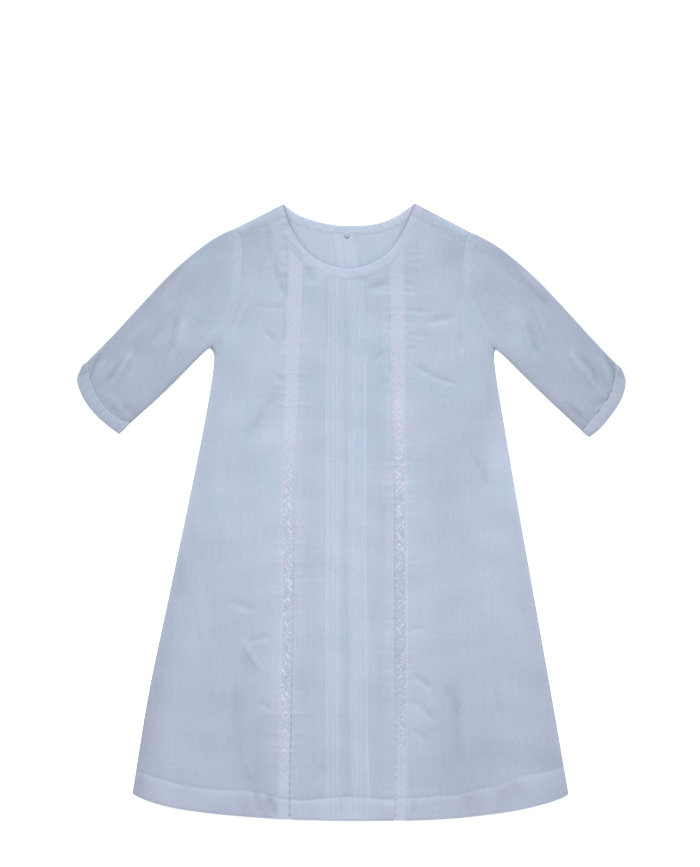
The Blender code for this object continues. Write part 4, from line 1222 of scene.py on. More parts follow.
# %% Back
BACK_LEVEL = 0.48
BACK_TONE = 1.03
BACK_HEM_TONE = 0.97
BACK_ROWS = 230
BACK_COLUMNS = 68
BACK_CREASES = (
    (-80, 230, -62, 196, 0.5, 4, 0), (70, 226, 52, 190, 0.5, 4, 0), (-30, 150, 44, 142, 0.5, 4, 2),
    (-104, 130, -60, 96, 0.6, 5, 2), (96, 124, 58, 84, 0.6, 5, -2), (-96, 40, -88, -30, 0.5, 7, 3),
    (40, 30, 62, -52, 0.6, 7, -3), (-20, -10, -34, -104, 0.6, 8, 3), (-126, -60, -142, -150, 0.6, 8, 2),
    (112, -62, 128, -158, 0.6, 8, 2), (-72, -140, -66, -246, 0.6, 7, -2),
    (14, -150, 24, -250, 0.5, 8, 2), (88, -160, 82, -250, 0.6, 7, 2),
    (-150, -180, -164, -250, 0.5, 8, 0), (146, -186, 162, -252, 0.5, 8, 0),
)


def back_height(x, y):
    waves = ripples(x, y, 9, 0.1, 30, 90)
    return BACK_LEVEL + np.maximum(crease_height(x, y, BACK_CREASES) + waves, 0.0)


def back_half(side, sign):
    """One half of the back, from its side seam to the middle line and the slit."""
    seam = side_seam(side)
    low = share_where(seam, above_hem(seam), HEM_DEPTH)
    armhole = stretch(armhole_seam(side), 1, 0, 80)
    outer = in_steps([stretch(seam, low, 1, 200), armhole], BACK_ROWS)
    middle = share_where(BACK_SEAM, BACK_SEAM[:, 0], OPENING_X)
    neck = stretch(BACK_SEAM, *{"left": (0.0, middle), "right": (1.0, middle)}[side], 50)
    shoulder = straight(outer[-1], neck[0], 20)
    top = in_steps([shoulder, neck], BACK_COLUMNS)
    foot = np.array([slit_x(SLIT_FOOT_Y), SLIT_FOOT_Y])
    hem_x = float(slit_x(SLIT_FOOT_Y))
    bottom = np.array([hem_x, float(hem_y(hem_x)) + HEM_DEPTH])
    inner = in_steps([straight(bottom, foot, 40), straight(foot, neck[-1], 20)], BACK_ROWS)
    hem = hem_line(outer[0, 0], inner[0, 0], HEM_DEPTH, BACK_COLUMNS)
    return upright(patch(hem, top, outer, inner))


# %% Cut the back
back_grids = [back_half(side, sign) for side, sign in SIDES]
shapes = []
for grid in back_grids:
    top = back_height(grid[..., 0], grid[..., 1])
    shapes.append(sheet_shape(grid, top, top - CLOTH))
back = add_piece("gown_back", together(shapes), batiste, BACK_TONE)
stands_for(back, "back")
print(back.name, made[back.name], "triangles")

# %% Back hem
def back_hem_tone(x, y):
    return np.full_like(x, BACK_HEM_TONE)


grid = hem_grid(side_seam("left"), side_seam("right"))
thick = BACK_LEVEL - 0.08
hem_band_back = cloth_over("hem_band_back", grid, back_height, back_hem_tone, batiste_doubled, thick)
stands_for(hem_band_back, "hem_back")
print(hem_band_back.name, made[hem_band_back.name], "triangles")

# %% [markdown]
# ## The slit's facings
# Each side of the slit is faced with a narrow strip: the left one is the underlap and
# the right one, twice as wide, is the overlap. They are doubled cloth with a fold down
# each long edge, so a flat strip would look too sharp. They are made as thin pads with
# rounded long edges that lie on the back.

# %% Facings of the slit
STRIP_ROWS = 60
STRIP_COLUMNS = 12


def pad_profile(columns, power=4.0):
    """From 0 at both edges of a pad to 1 across most of it."""
    share = np.abs(np.linspace(-1, 1, columns + 1))
    return (1.0 - share**power) ** (1.0 / power)


# %% Sew the facings
strips = {
    "slit_underlap": ("opening_underlap", -UNDERLAP, 0.3, 0.12, 1.1),
    "slit_overlap": ("opening_overlap", -0.3, OVERLAP, 0.2, 1.09),
}
for name, (node, low_x, high_x, thick, tone) in strips.items():
    heights = np.linspace(SLIT_FOOT_Y, SLIT_TOP_Y, STRIP_ROWS + 1)
    left = np.column_stack([slit_x(heights, low_x), heights])
    right = np.column_stack([slit_x(heights, high_x), heights])
    left[-1, 1] = back_neck_y(left[-1, 0])
    right[-1, 1] = back_neck_y(right[-1, 0])
    foot, top = (straight(left[end], right[end], STRIP_COLUMNS) for end in (0, -1))
    grid = patch(foot, top, left, right)
    x, y = grid[..., 0], grid[..., 1]
    bottom = back_height(x, y) + 0.02
    top = bottom + 0.03 + thick * pad_profile(STRIP_COLUMNS, 2.5) + ripples(x, y, 44, 0.02, 8, 24)
    strip = add_piece(name, sheet_shape(grid, top, bottom), batiste_doubled, tone)
    stands_for(strip, node)

# %% [markdown]
# ## The neck bindings
# A strip cut on the bias is folded over the raw neck edge and stitched down, which
# makes a soft round band. Its threads run slantwise, and it pulls into faint slanting
# ripples. A section swept along the edge would keep one width all round, so each band
# is a pad that blends from its seam to its free edge. Front and back are separate,
# because the front layer lies 3 mm higher, and both come down to the shoulder line
# where they meet.

# %% Neck bindings
BAND_ROWS = 10
BAND_RIPPLE = 0.06
BACK_BAND_LEVEL = {"left": 0.2, "right": 0.3}  # over the back's own top
BACK_BAND_TONE = 1.12
NECK_MIDDLE_X = -3.0
# Distances from the neck's middle, and the front band's tones there: painted shadow along the line where
# it turns under, painted light and painted shade just beside that line, and painted shade towards the
# shoulders
FOLD_SHADOW_TONES = (30.0, 50.0), (0.64, 0.56)  # the dark line where it turns under
LIP_LIGHT_AND_SHADE_TONES = (40.0, 52.0), (1.12, 0.86)  # just beside that line
END_SHADE_TONES = (38.0, 54.0), (1.0, 0.95)  # on the rest of it, towards the shoulders


def band_shape(inner, outer, steps, level, lift, half_thick, seed):
    """A band between two lines, flat where it is sewn down and round at its free edge."""
    left = straight(inner[0], outer[0], BAND_ROWS)
    right = straight(inner[-1], outer[-1], BAND_ROWS)
    grid = upright(patch(stretch(inner, 0, 1, steps), stretch(outer, 0, 1, steps), left, right))
    x, y = grid[..., 0], grid[..., 1]
    swell = pad_profile(BAND_ROWS)[:, None]
    grow = np.linspace(0, 1, BAND_ROWS + 1)[:, None] ** 0.5
    swell = swell * grow
    middle = level(x, y) + lift * grow
    slant = np.sin((x + y) * math.tau / 7.3 + np.sin(x / 9.0))
    slant = slant + 0.6 * np.sin((x * 0.8 + y) * math.tau / 4.1)
    slant = BAND_RIPPLE * slant + ripples(x, y, seed, 0.12, 9, 30)
    top = middle + half_thick * swell + slant * swell + 0.03
    return grid, sheet_shape(grid, top, middle - half_thick * swell - 0.03)


# %% Front neck band
inner = moved(FRONT_SEAM, -LAP)
grid, shape = band_shape(inner, FRONT_EDGE, 190, front_height, 0.05, 0.42, 71)
across = np.linspace(0, 1, BAND_ROWS + 1)[:, None]
out = np.abs(grid[..., 0] - NECK_MIDDLE_X)
fold = np.interp(out, *FOLD_SHADOW_TONES)
beside_fold = np.where(across > 0.85, np.interp(out, *LIP_LIGHT_AND_SHADE_TONES), 1.1 + 0.03 * across)
beside_fold = beside_fold * np.interp(out, *END_SHADE_TONES)
tone = front_tone_and_shade(grid[..., 0], grid[..., 1]) * np.where(across < 1.0, beside_fold, fold)
neck_front = add_piece("neck_band_front", shape, batiste_doubled, np.tile(tone.ravel(), 2), 45)
stands_for(neck_front, "neck_binding_front")
print(neck_front.name, made[neck_front.name], "triangles")

# %% Back neck bands
middle = share_where(BACK_SEAM, BACK_SEAM[:, 0], OPENING_X)
edge_middle = share_where(BACK_EDGE, BACK_EDGE[:, 0], OPENING_X)
for side, sign in SIDES:
    seam_ends = {"left": (0.0, middle), "right": (middle, 1.0)}[side]
    edge_ends = {"left": (0.0, edge_middle), "right": (edge_middle, 1.0)}[side]
    inner = stretch(moved(BACK_SEAM, -LAP), *seam_ends, 60)
    outer = stretch(BACK_EDGE, *edge_ends, 60)
    at_slit = {"left": -1, "right": 0}[side]
    inner[at_slit, 0] = outer[at_slit, 0] = OPENING_X + {"left": 0.3, "right": -1.2}[side]
    lift = BACK_BAND_LEVEL[side]
    grid, shape = band_shape(inner, outer, 90, back_height, lift, 0.4, 72)
    band = add_piece("neck_band_back_" + side, shape, batiste_doubled, BACK_BAND_TONE, 45)
    stands_for(band, "neck_binding_back_" + side)

# %% [markdown]
# ## The sleeves
# A sleeve is a tube, pressed flat, so its two long edges are soft folds and not seams.
# Two sheets, one on the other, would gape along those folds. So each row of the grid
# becomes a closed ring, and a modifier thickens the rings inwards.
# Gathers spread from the cuff, and the armhole end carries the seam allowance, a paler
# strip a finger's breadth wide.

# %% Sleeves
SLEEVE_ROWS = 104
SLEEVE_COLUMNS = 58
SLEEVE_MIDDLE = 1.45
SLEEVE_ROUND = 5.5
GATHER = 0.5
GATHER_PITCH = 8.0
GATHER_REACH = 9.0
SEAM_DROP = 0.25  # how far the sleeve's end lies under the armhole and the cuff
SEAM_DROP_REACH = 3.0
UNDER_LEVEL = 0.12
# painted shade towards the cuff seam and the sleeve's two folded edges
SLEEVE_EDGE_SHADE = ((0.12, 3.4), (0.1, 11.0), (0.1, 5.0))  # share and reach: cuff, over, under
SLEEVE_TURN = {"left": 43.0, "right": -43.0}
UNDER_CREASES = (
    (-146, 192, -172, 148, 0.6, 4, 2), (-190, 170, -202, 120, 0.5, 4, 0),
    (-222, 118, -204, 132, 0.5, 3, 0), (150, 190, 176, 150, 0.6, 4, -2),
    (192, 168, 206, 118, 0.5, 4, 0), (224, 116, 208, 130, 0.5, 3, 0),
)


# %% A sleeve's edges, and rings for a flat tube
def sleeve_edges(side):
    cuff_seam = smooth_line([OVERARM[side][-1], *CUFF_SEAM[side], UNDERSLEEVE[side][-1]])
    overarm = smooth_line([SHOULDER_TIP[side], *OVERARM[side]])
    underarm = smooth_line([UNDERARM[side], *UNDERSLEEVE[side]])
    return cuff_seam, overarm, underarm


def ring_shares(columns):
    """Shares across a flat tube, closer together towards its two folds."""
    even = np.linspace(0, 1, columns + 1)
    return 0.35 * even + 0.65 * (1 - np.cos(math.pi * even)) / 2


def ring_round(shares, power):
    return (1.0 - np.abs(2 * shares - 1) ** power).clip(0, 1) ** (1.0 / power)


def tube_shape(upper, lower, closed=False):
    """A tube from rows of upper points and rows of lower points that share their ends."""
    rings = np.concatenate([upper, lower[:, -2:0:-1]], axis=1)
    rows, around = rings.shape[:2]
    index = np.arange(rows * around).reshape(rows, around)
    after = np.roll(index, -1, axis=1)
    if closed:
        ahead, ahead_after = np.roll(index, -1, axis=0), np.roll(after, -1, axis=0)
    else:
        index, after, ahead, ahead_after = index[:-1], after[:-1], index[1:], after[1:]
    faces = np.stack([index, after, ahead_after, ahead], -1).reshape(-1, 4)
    run = upper[0, -1, :2] - upper[0, 0, :2]
    rise = upper[rows // 2, 0, :2] - upper[0, 0, :2]
    faces = faces if run[0] * rise[1] - run[1] * rise[0] > 0 else faces[:, ::-1]
    return rings.reshape(-1, 3), faces.tolist()


# %% Sleeve tone and painted shade
# The sleeve's tone, with painted shade away from the armhole, in crease hollows and towards its edges,
# and patches of painted light and shade. The seam allowance at the armhole is paler for its extra layers.
def sleeve_tone_and_shade(side, x, y):
    away = beside(ARMHOLE_LINES[side], x, y)[0]
    tone = SLEEVE_LOW + (SLEEVE_TOP - SLEEVE_LOW) * np.exp(-away / SLEEVE_FADE)
    tone += ALLOWANCE_TONE * smooth_step((ALLOWANCE_WIDTH - away) / 2.0)
    tone *= painted_crease_shade(x, y) * patches(x, y, SLEEVE_LIGHT_AND_SHADE_PATCHES)
    for edge, (dark, reach) in zip(sleeve_edges(side), SLEEVE_EDGE_SHADE):
        near = beside(stretch(edge, 0, 1, 60), x, y)[0]
        tone *= 1.0 - dark * np.exp(-near / reach)
    return tone


# %% Sew the sleeves
sleeves = {}
for side, sign in SIDES:
    cuff_seam, overarm, underarm = sleeve_edges(side)
    shares = ring_shares(SLEEVE_COLUMNS)
    low = points_on(cuff_seam, shares)
    high = moved(points_on(armhole_seam(side), shares), -sign * LAP)
    over = stretch(overarm, 1, 0, SLEEVE_ROWS)
    under = stretch(underarm, 1, 0, SLEEVE_ROWS)
    ends = np.linspace(0, 1, SLEEVE_ROWS + 1)
    over = anchored(over, low[0], high[0], ends)
    under = anchored(under, low[-1], high[-1], ends)
    grid = patch(low, high, over, under, shares)
    x, y = grid[..., 0], grid[..., 1]
    swell = ring_round(shares, SLEEVE_ROUND)[None, :]
    away, along = beside(stretch(cuff_seam, 0, 1, 60), x, y)
    gathers = puckers(along, away, 81, GATHER, GATHER_PITCH, GATHER_REACH)
    at_seam = np.minimum(away, beside(ARMHOLE_LINES[side], x, y)[0])
    drop = SEAM_DROP * np.exp(-((at_seam / SEAM_DROP_REACH) ** 2))
    top = SLEEVE_MIDDLE + (front_surface(x, y) + gathers - drop - SLEEVE_MIDDLE) * swell
    lift = np.maximum(crease_height(x, y, UNDER_CREASES) + 0.4 * gathers, 0.0)
    bottom = SLEEVE_MIDDLE - (SLEEVE_MIDDLE - UNDER_LEVEL - lift) * swell
    upper, lower = np.dstack([grid, top]), np.dstack([grid, bottom])
    tone = sleeve_tone_and_shade(side, x, y)
    ring_tone = np.concatenate([tone, tone[:, -2:0:-1]], axis=1).ravel()
    shape = tube_shape(upper, lower)
    sleeve = add_piece("sleeve_cloth_" + side, shape, batiste, ring_tone, SLEEVE_TURN[side])
    thicken = sleeve.modifiers.new("Cloth thickness", "SOLIDIFY")
    thicken.thickness = CLOTH * MM
    thicken.offset = -1.0
    stands_for(sleeve, "sleeve_" + side)
    sleeves[side] = (sleeve, flat_area(grid))
    print(sleeve.name, made[sleeve.name], "triangles before it is thickened")

# %% [markdown]
# ## The cuffs
# Each sleeve ends in a bias binding, a soft roll with a rounded lip. It is a ring of
# rounded sections: out over the top of the band, round the lip and back inside. A
# modifier could thicken a plain band, but its lip would be square.

# %% Cuffs
CUFF_COLUMNS = 64
CUFF_SECTION = 20
CUFF_HALF_THICK = 0.5
CUFF_RIPPLE = 0.07
CUFF_OVER, CUFF_UNDER, CUFF_CROWN = 1.3, 0.8, 0.15  # its layers above and below SLEEVE_MIDDLE

# %% Sew the cuffs
for side, sign in SIDES:
    cuff_seam = sleeve_edges(side)[0]
    shares = ring_shares(CUFF_COLUMNS)
    seam_line = moved(points_on(cuff_seam, shares), -sign * LAP)
    mouth = points_on(smooth_line(CUFF_EDGE[side]), shares)
    swell = ring_round(shares, 9.0)
    width = lengths_along(mouth)[-1]
    upper, lower = [], []
    for step in range(CUFF_SECTION):
        turn = math.tau * step / CUFF_SECTION
        across = (1 - math.cos(turn)) / 2
        out = CUFF_HALF_THICK * math.sin(turn)
        line = mouth + across * (seam_line - mouth)
        squeeze = 1.0 + 2.0 * out / width
        line = line.mean(0) + (line - line.mean(0)) * squeeze
        x, y = line.T
        along = lengths_along(line)
        ripple = CUFF_RIPPLE * (np.sin(along * 0.83 + 3 * across) + 0.7 * np.sin(along * 1.57 + 1.0))
        crown = CUFF_OVER + CUFF_CROWN * math.sin(math.pi * across)
        top = SLEEVE_MIDDLE + (crown + out + ripple * (out > 0)) * swell
        bottom = SLEEVE_MIDDLE - (CUFF_UNDER + out) * swell
        upper.append(np.column_stack([line, top]))
        lower.append(np.column_stack([line, bottom]))
    shape = tube_shape(np.array(upper), np.array(lower), closed=True)
    # the cuff's tone from CUFF_TONE, with painted shade at its top corner from the patches
    tone = CUFF_TONE[side] * patches(shape[0][:, 0], shape[0][:, 1], CUFF_SHADE_PATCHES)
    cuff = add_piece("cuff_band_" + side, shape, batiste_doubled, tone, SLEEVE_TURN[side] + 45)
    stands_for(cuff, "cuff_" + side)
    print(cuff.name, made[cuff.name], "triangles")

# %% [markdown]
# ## Lace insertion
# Cotton insertion lace has a firm heading along each side, a column of square holes,
# and a net that carries a wavy cord and small leaves. The threads one can tell apart
# are modelled: flat strips for the headings, short bars between the holes, slanting
# threads for the net, and thicker shapes for the cord and the leaves. Under them lies
# the fine ground, a thin sheet that sinks a little in the holes and is painted darker
# there and in the gaps between the threads, as painted shade. An image or a see-through
# finish would look printed.

# %% The lace finish
def lace_cotton(name, shadow, pale):
    """Twisted cotton thread, whiter than the cloth, and warmer where it is palest."""
    recipe = Recipe(name)
    place = recipe.threads()
    twist = recipe.noise(place, (2.6, 1.3, 1.0), 3.0)
    cloudy = recipe.noise(place, (0.06, 0.04, 1.0), 2.0)
    tone = recipe.tone()
    shade = recipe.sum("MULTIPLY", recipe.scaled(twist, 0.9, 1.1), tone)
    paleness = recipe.sum("MULTIPLY", recipe.sum("SUBTRACT", tone, 0.9), 3.0)
    mixed = recipe.sum("ADD", recipe.scaled(cloudy, -0.7, 0.9), paleness)
    colour = recipe.between(mixed, shadow, pale)
    recipe.feed(recipe.shader.inputs["Base Color"], recipe.shaded(colour, shade))
    recipe.relief(twist, 0.5, 0.0002)
    recipe.feed(recipe.shader.inputs["Roughness"], recipe.scaled(twist, 0.78, 0.94))
    recipe.shader.inputs["Sheen Weight"].default_value = CLOTH_SHEEN
    recipe.shader.inputs["Specular IOR Level"].default_value = 0.2
    return recipe.material


lace_thread = lace_cotton("lace_thread", (0.378, 0.427, 0.525), (0.409, 0.428, 0.530))
sewing_thread = lace_cotton("sewing_thread", (0.37, 0.42, 0.52), (0.39, 0.42, 0.52))
print("thread finishes:", lace_thread.name, sewing_thread.name)

# %% The lace's parts, measured from its inner edge
INNER_HEADING = (-0.9, 1.0)
OUTER_HEADING = (11.2, 13.9)
RAIL = (2.6, 3.4)
GROUND = (3.2, 11.3)
HOLES = (1.0, 2.7)
HOLE_PITCH = 6.8
BAR_SHARE = 0.36  # share of the pitch that a bar between two holes takes
NET_PITCH = 2.4
NET_HALF = 0.28
PICOT_HALF = 0.8
MOTIF_PITCH = 17.0  # the length of one wave of the cord
CORD_MIDDLE, CORD_SWING = 7.1, 2.5
CORD_HALF = 0.5
LACE_RISE = 0.12
LACE_STEP = 1.7
GROUND_SINK = 0.08  # how far the fine ground lies under the threads
GROUND_ACROSS = (-0.6, 0.9, 1.1, 1.85, 2.6, 2.8, *np.arange(3.6, 11.3, 0.85), 13.6)
LACE_HEIGHTS = (-250.0, -200.0, -135.0, -65.0, 10.0, 85.0, 150.0, 210.0)
CLEAR_SHARES = {  # how far the lace's pattern shows up at each of those heights
    "left": (0.15, 0.5, 1.0, 0.95, 0.6, 0.15, 0.1, 0.1),
    "right": (0.1, 0.5, 0.9, 1.0, 1.0, 0.3, 0.1, 0.1),
}
GROUND_TONES = {
    "left": (1.075, 1.065, 0.99, 0.985, 1.025, 1.085, 1.035, 1.05),
    "right": (1.085, 1.015, 0.935, 0.935, 0.985, 1.1, 1.045, 1.035),
}
# painted shade in the holes, at each of LACE_HEIGHTS
HOLE_SHADE_TONES = {
    "left": (0.78, 0.78, 0.92, 0.9, 0.96, 1.07, 1.05, 1.05),
    "right": (0.95, 0.95, 0.91, 0.87, 0.9, 1.04, 1.04, 1.04),
}
THREAD_OVER, CORD_OVER, LEAF_OVER = 0.03, 0.1, 0.25  # how much paler than the ground
LEAVES = (  # across the lace, share of the wave, half length, half width
    (6.2, 0.58, 2.2, 1.4), (9.8, 0.8, 2.1, 1.2), (4.8, 0.14, 1.9, 1.1),
    (9.0, 0.34, 1.9, 1.1), (6.8, 0.95, 1.6, 1.0), (4.2, 0.42, 1.5, 0.9),
    (7.6, 0.2, 1.6, 0.95), (4.6, 0.8, 1.5, 0.9), (8.2, 0.6, 1.4, 0.9),
    (10.4, 0.08, 1.5, 0.85), (5.8, 0.32, 1.3, 0.8), (10.2, 0.5, 1.4, 0.8),
)
LEAF_CLEAR = 1.6  # of the hem's edge
# painted shade in the gaps between the threads
EYE_SHADE = 0.2  # how much darker the gaps between the threads are
EYE_PITCH = (3.1, 3.7)  # across the lace, along it
HEADING_TONES = {"inner": (1.02, 1.02), "outer": (1.06, 1.0)}  # clear, pale


# %% Places on the lace
def lace_point(side, across, y):
    """A place on the lace, from its inner edge outwards, at a height."""
    inward = {"left": 1, "right": -1}[side]
    return np.column_stack([lace_x(side, y) + inward * (LACE_WIDTH / 2 - across), y])


def clearness(side, y):
    """0 where the lace lies close over the back and looks pale, 1 where its pattern shows."""
    return np.interp(y, LACE_HEIGHTS, CLEAR_SHARES[side])


def lace_level(points, raised):
    return front_height(points[:, 0], points[:, 1]) - 0.05 + raised


def on_lace(points, over_hem=0.2):
    """True if all of these points are between the hem's edge and the neck binding."""
    x, y = points.T
    return bool(((y > hem_y(x) + over_hem) & (y < neck_y(x) + 0.6)).all())


def lace_ends(side, across=LACE_WIDTH):
    """The lace's lowest and highest y, which is higher at its outer edge."""
    x = [lace_point(side, across, np.array([y]))[0, 0] for y in (-270.0, 240.0)]
    return float(hem_y(x[0])) + 0.3, float(neck_y(x[1])) + 0.5


def lace_grid(side, across, step):
    """A grid over the lace whose top rows slant with the neckline."""
    low_y, high_y = lace_ends(side, across[0])
    even = np.arange(low_y, high_y, step)
    slant_from = high_y - 30.0
    columns = []
    for place in across:
        top = lace_ends(side, place)[1]
        lifted = slant_from + (even - slant_from) * (top - slant_from) / (even[-1] - slant_from)
        columns.append(lace_point(side, place, np.where(even > slant_from, lifted, even)))
    return np.stack(columns, 1)


# %% Headings and fine ground
def thread_tone(side, points, over):
    """The ground's tone, raised by a share that grows where the pattern shows."""
    y = points[:, 1]
    return np.interp(y, LACE_HEIGHTS, GROUND_TONES[side]) * (1.0 + over * clearness(side, y))


def heading_part(side, place, ends):
    """A firm flat edge that thins towards both its sides."""
    grid = upright(lace_grid(side, np.linspace(*ends, 4), LACE_STEP))
    wobble = 0.1 * np.sin(grid[:, 0, 1] * math.tau / 5.7)
    grid[:, 0, 0] += wobble
    grid[:, 3, 0] -= wobble
    level = front_height(grid[..., 0], grid[..., 1])
    top = level + np.array([-0.1, 0.12, 0.12, -0.1])
    shape = sheet_shape(grid, top, level - 0.4)
    shown, pale = HEADING_TONES[place]
    return shape, pale + (shown - pale) * clearness(side, shape[0][:, 1])


def ground_part(side):
    """The fine ground, a thin sheet that sinks in the holes, painted darker there and in the gaps between
    the threads as painted shade.
    """
    grid = lace_grid(side, GROUND_ACROSS, HOLE_PITCH / 6)
    across = np.tile(GROUND_ACROSS, (len(grid), 1))
    phase = ((grid[:, :1, 1] - lace_ends(side)[0]) / HOLE_PITCH) % 1.0
    hole = (across > HOLES[0]) & (across < HOLES[1]) & (abs(phase - 0.5) < 0.5 - BAR_SHARE / 2)
    y = grid[..., 1]
    hole_tone = np.interp(y, LACE_HEIGHTS, HOLE_SHADE_TONES[side])
    tone = np.where(hole, hole_tone, np.interp(y, LACE_HEIGHTS, GROUND_TONES[side]))
    sink = GROUND_SINK * clearness(side, y)
    eyes = np.sin(across * math.tau / EYE_PITCH[0]) * np.sin(y * math.tau / EYE_PITCH[1] + across)
    tone = tone * (1.0 - EYE_SHADE * clearness(side, y) * np.where(hole, 0.0, 0.5 + 0.5 * eyes))
    level = front_height(grid[..., 0], y) - sink - 0.12 * hole
    if grid[0, 0, 0] > grid[0, -1, 0]:
        grid, level, tone = grid[:, ::-1], level[:, ::-1], tone[:, ::-1]
    return sheet_shape(grid, level, level - 0.2), np.tile(tone.ravel(), 2)


# %% Threads and bars
def thread_part(side, points, raised, half_width, rise, over=THREAD_OVER):
    shape = ribbon_shape(points, lace_level(points, raised), half_width, rise)
    return shape, thread_tone(side, shape[0], over)


def bar_part(side, bar, half):
    """One bar, halfway in tone between the ground and the painted shade of the holes beside it."""
    shape, tone = thread_part(side, bar, -0.02, half, LACE_RISE * 0.7)
    return shape, (tone + np.interp(shape[0][:, 1], LACE_HEIGHTS, HOLE_SHADE_TONES[side])) / 2


def bar_parts(side, low_y, high_y):
    """Bars between the holes, and fine picots inside the outer heading."""
    parts = []
    half = HOLE_PITCH * BAR_SHARE / 2
    for at in np.arange(low_y, high_y, HOLE_PITCH):
        bar = lace_point(side, np.linspace(0.7, 2.9, 3), np.full(3, at))
        if on_lace(bar, half):
            parts.append(bar_part(side, bar, half))
    for at in np.arange(low_y + 1.0, high_y, HOLE_PITCH / 2):
        picot = lace_point(side, np.linspace(10.5, 11.5, 2), np.full(2, at))
        if on_lace(picot):
            parts.append(thread_part(side, picot, -0.02, PICOT_HALF, LACE_RISE * 0.6))
    return parts


# %% Net, cord and leaves
def net_parts(side, low_y, high_y):
    """Slanting threads both ways, one set a little over the other."""
    parts = []
    across = np.linspace(GROUND[0], GROUND[1] - 0.5, 5)
    for lean, raised in ((1.0, -0.05), (-1.0, -0.02)):
        for at in np.arange(low_y - 10.0, high_y + 12.0, NET_PITCH):
            thread = lace_point(side, across, at + lean * (across - across.mean()))
            if on_lace(thread):
                parts.append(thread_part(side, thread, raised, NET_HALF, LACE_RISE * 0.5))
    return parts


def motif_parts(side, low_y, high_y):
    """The wavy cord, and leaves in each of its waves."""
    y = np.arange(low_y + 0.6, high_y - 1.0, 1.1)
    cord = lace_point(side, CORD_MIDDLE + CORD_SWING * np.sin(y * math.tau / MOTIF_PITCH), y)
    cord = cord[cord[:, 1] < neck_y(cord[:, 0]) + 0.6]
    parts = [thread_part(side, cord, 0.02, CORD_HALF, LACE_RISE, CORD_OVER)]
    share = np.linspace(0, 1, 8)
    fat = np.sin(math.pi * share) ** 0.8
    draw = np.random.default_rng({"left": 91, "right": 92}[side])
    for at in np.arange(low_y - MOTIF_PITCH, high_y + MOTIF_PITCH, MOTIF_PITCH):
        for across, up, half_length, half_width in LEAVES:
            size, slant, over = draw.uniform((0.7, -0.8, -0.3), (1.15, 0.8, 1.2))
            reach = (2 * share - 1) * half_length * size
            leaf = lace_point(side, across + slant * reach, at + up * MOTIF_PITCH + reach)
            if on_lace(leaf, LEAF_CLEAR):
                widths = half_width * size * fat + 0.05
                rise = LACE_RISE * fat + 0.04
                parts.append(thread_part(side, leaf, 0.04, widths, rise, LEAF_OVER * over))
    return parts


# %% Make the two lace strips
for side, _ in SIDES:
    ends = lace_ends(side)
    parts = [heading_part(side, "inner", INNER_HEADING), heading_part(side, "outer", OUTER_HEADING)]
    parts.append(ground_part(side))
    rail_y = np.arange(ends[0], lace_ends(side, RAIL[0])[1], LACE_STEP)
    rail = lace_point(side, np.full(len(rail_y), np.mean(RAIL)), rail_y)
    parts.append(thread_part(side, rail, 0.0, (RAIL[1] - RAIL[0]) / 2, LACE_RISE))
    parts += bar_parts(side, *ends) + net_parts(side, *ends) + motif_parts(side, *ends)
    shape = together([shape for shape, _ in parts])
    tone = np.concatenate([tone for _, tone in parts])
    # the front's patches of painted light and shade fall on the lace too
    tone = tone * patches(shape[0][:, 0], shape[0][:, 1], TONE_AND_SHADE_PATCHES)
    lace = add_piece("lace_strip_" + side, shape, lace_thread, tone, sharp=math.radians(45))
    stands_for(lace, "lace_insertion_" + side)
    print(lace.name, made[lace.name], "triangles")

# %% [markdown]
# ## The stud
# One sew-on press stud closes the neck at the back: a small dull metal disc with a
# rolled rim and a hollow in the middle. A profile turned round its axis makes it, which
# gives the rim and the hollow their real curve, as a plain cylinder doesn't.

# %% Stud
STUD_SIDES = 40
STUD_PROFILE = (  # distance from the axis, height
    (0.0, 0.24), (0.5, 0.24), (0.8, 0.29), (1.05, 0.36), (1.35, 0.37), (1.65, 0.31),
    (1.95, 0.25), (2.2, 0.21), (2.38, 0.16), (2.5, 0.09), (2.46, 0.03), (2.2, 0.0), (0.0, 0.0),
)
STUD_DROP = 0.27  # down on to the cloth that it is sewn to
stud_low, stud_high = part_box("neck_stud")
stud_foot = stud_low[2] / MM - STUD_DROP
stud_middle = [(low + high) / 2 / MM for low, high in zip(stud_low, stud_high)]
turns = np.linspace(0, math.tau, STUD_SIDES, endpoint=False)
rings = [
    np.column_stack([
        stud_middle[0] + radius * np.cos(turns),
        stud_middle[1] + radius * np.sin(turns),
        np.full(STUD_SIDES, stud_foot + height),
    ])
    for radius, height in STUD_PROFILE[1:-1]
]
count = len(rings)
centres = [[*stud_middle[:2], stud_foot + STUD_PROFILE[end][1]] for end in (0, -1)]
points = np.vstack([*rings, centres])
faces = []
for at in range(STUD_SIDES):
    after = (at + 1) % STUD_SIDES
    for ring in range(count - 1):
        low, high = ring * STUD_SIDES, (ring + 1) * STUD_SIDES
        faces.append([low + after, low + at, high + at, high + after])
    faces.append([at, after, count * STUD_SIDES])
    last = (count - 1) * STUD_SIDES
    faces.append([last + after, last + at, count * STUD_SIDES + 1])

# %% The stud's dull metal
recipe = Recipe("dull_metal")
place = recipe.threads()
scratches = recipe.noise(place, (6.0, 0.7, 1.0), 3.0)
metal = recipe.between(scratches, (0.30, 0.35, 0.43), (0.36, 0.41, 0.50))
recipe.feed(recipe.shader.inputs["Base Color"], recipe.shaded(metal, recipe.tone()))
recipe.feed(recipe.shader.inputs["Roughness"], recipe.scaled(scratches, 0.6, 0.8))
recipe.relief(scratches, 0.2, 0.00005)
recipe.shader.inputs["Metallic"].default_value = 0.2
stud = add_piece("press_stud", (points, faces), recipe.material, sharp=math.radians(60))
stands_for(stud, "neck_stud")
print(stud.name, made[stud.name], "triangles")

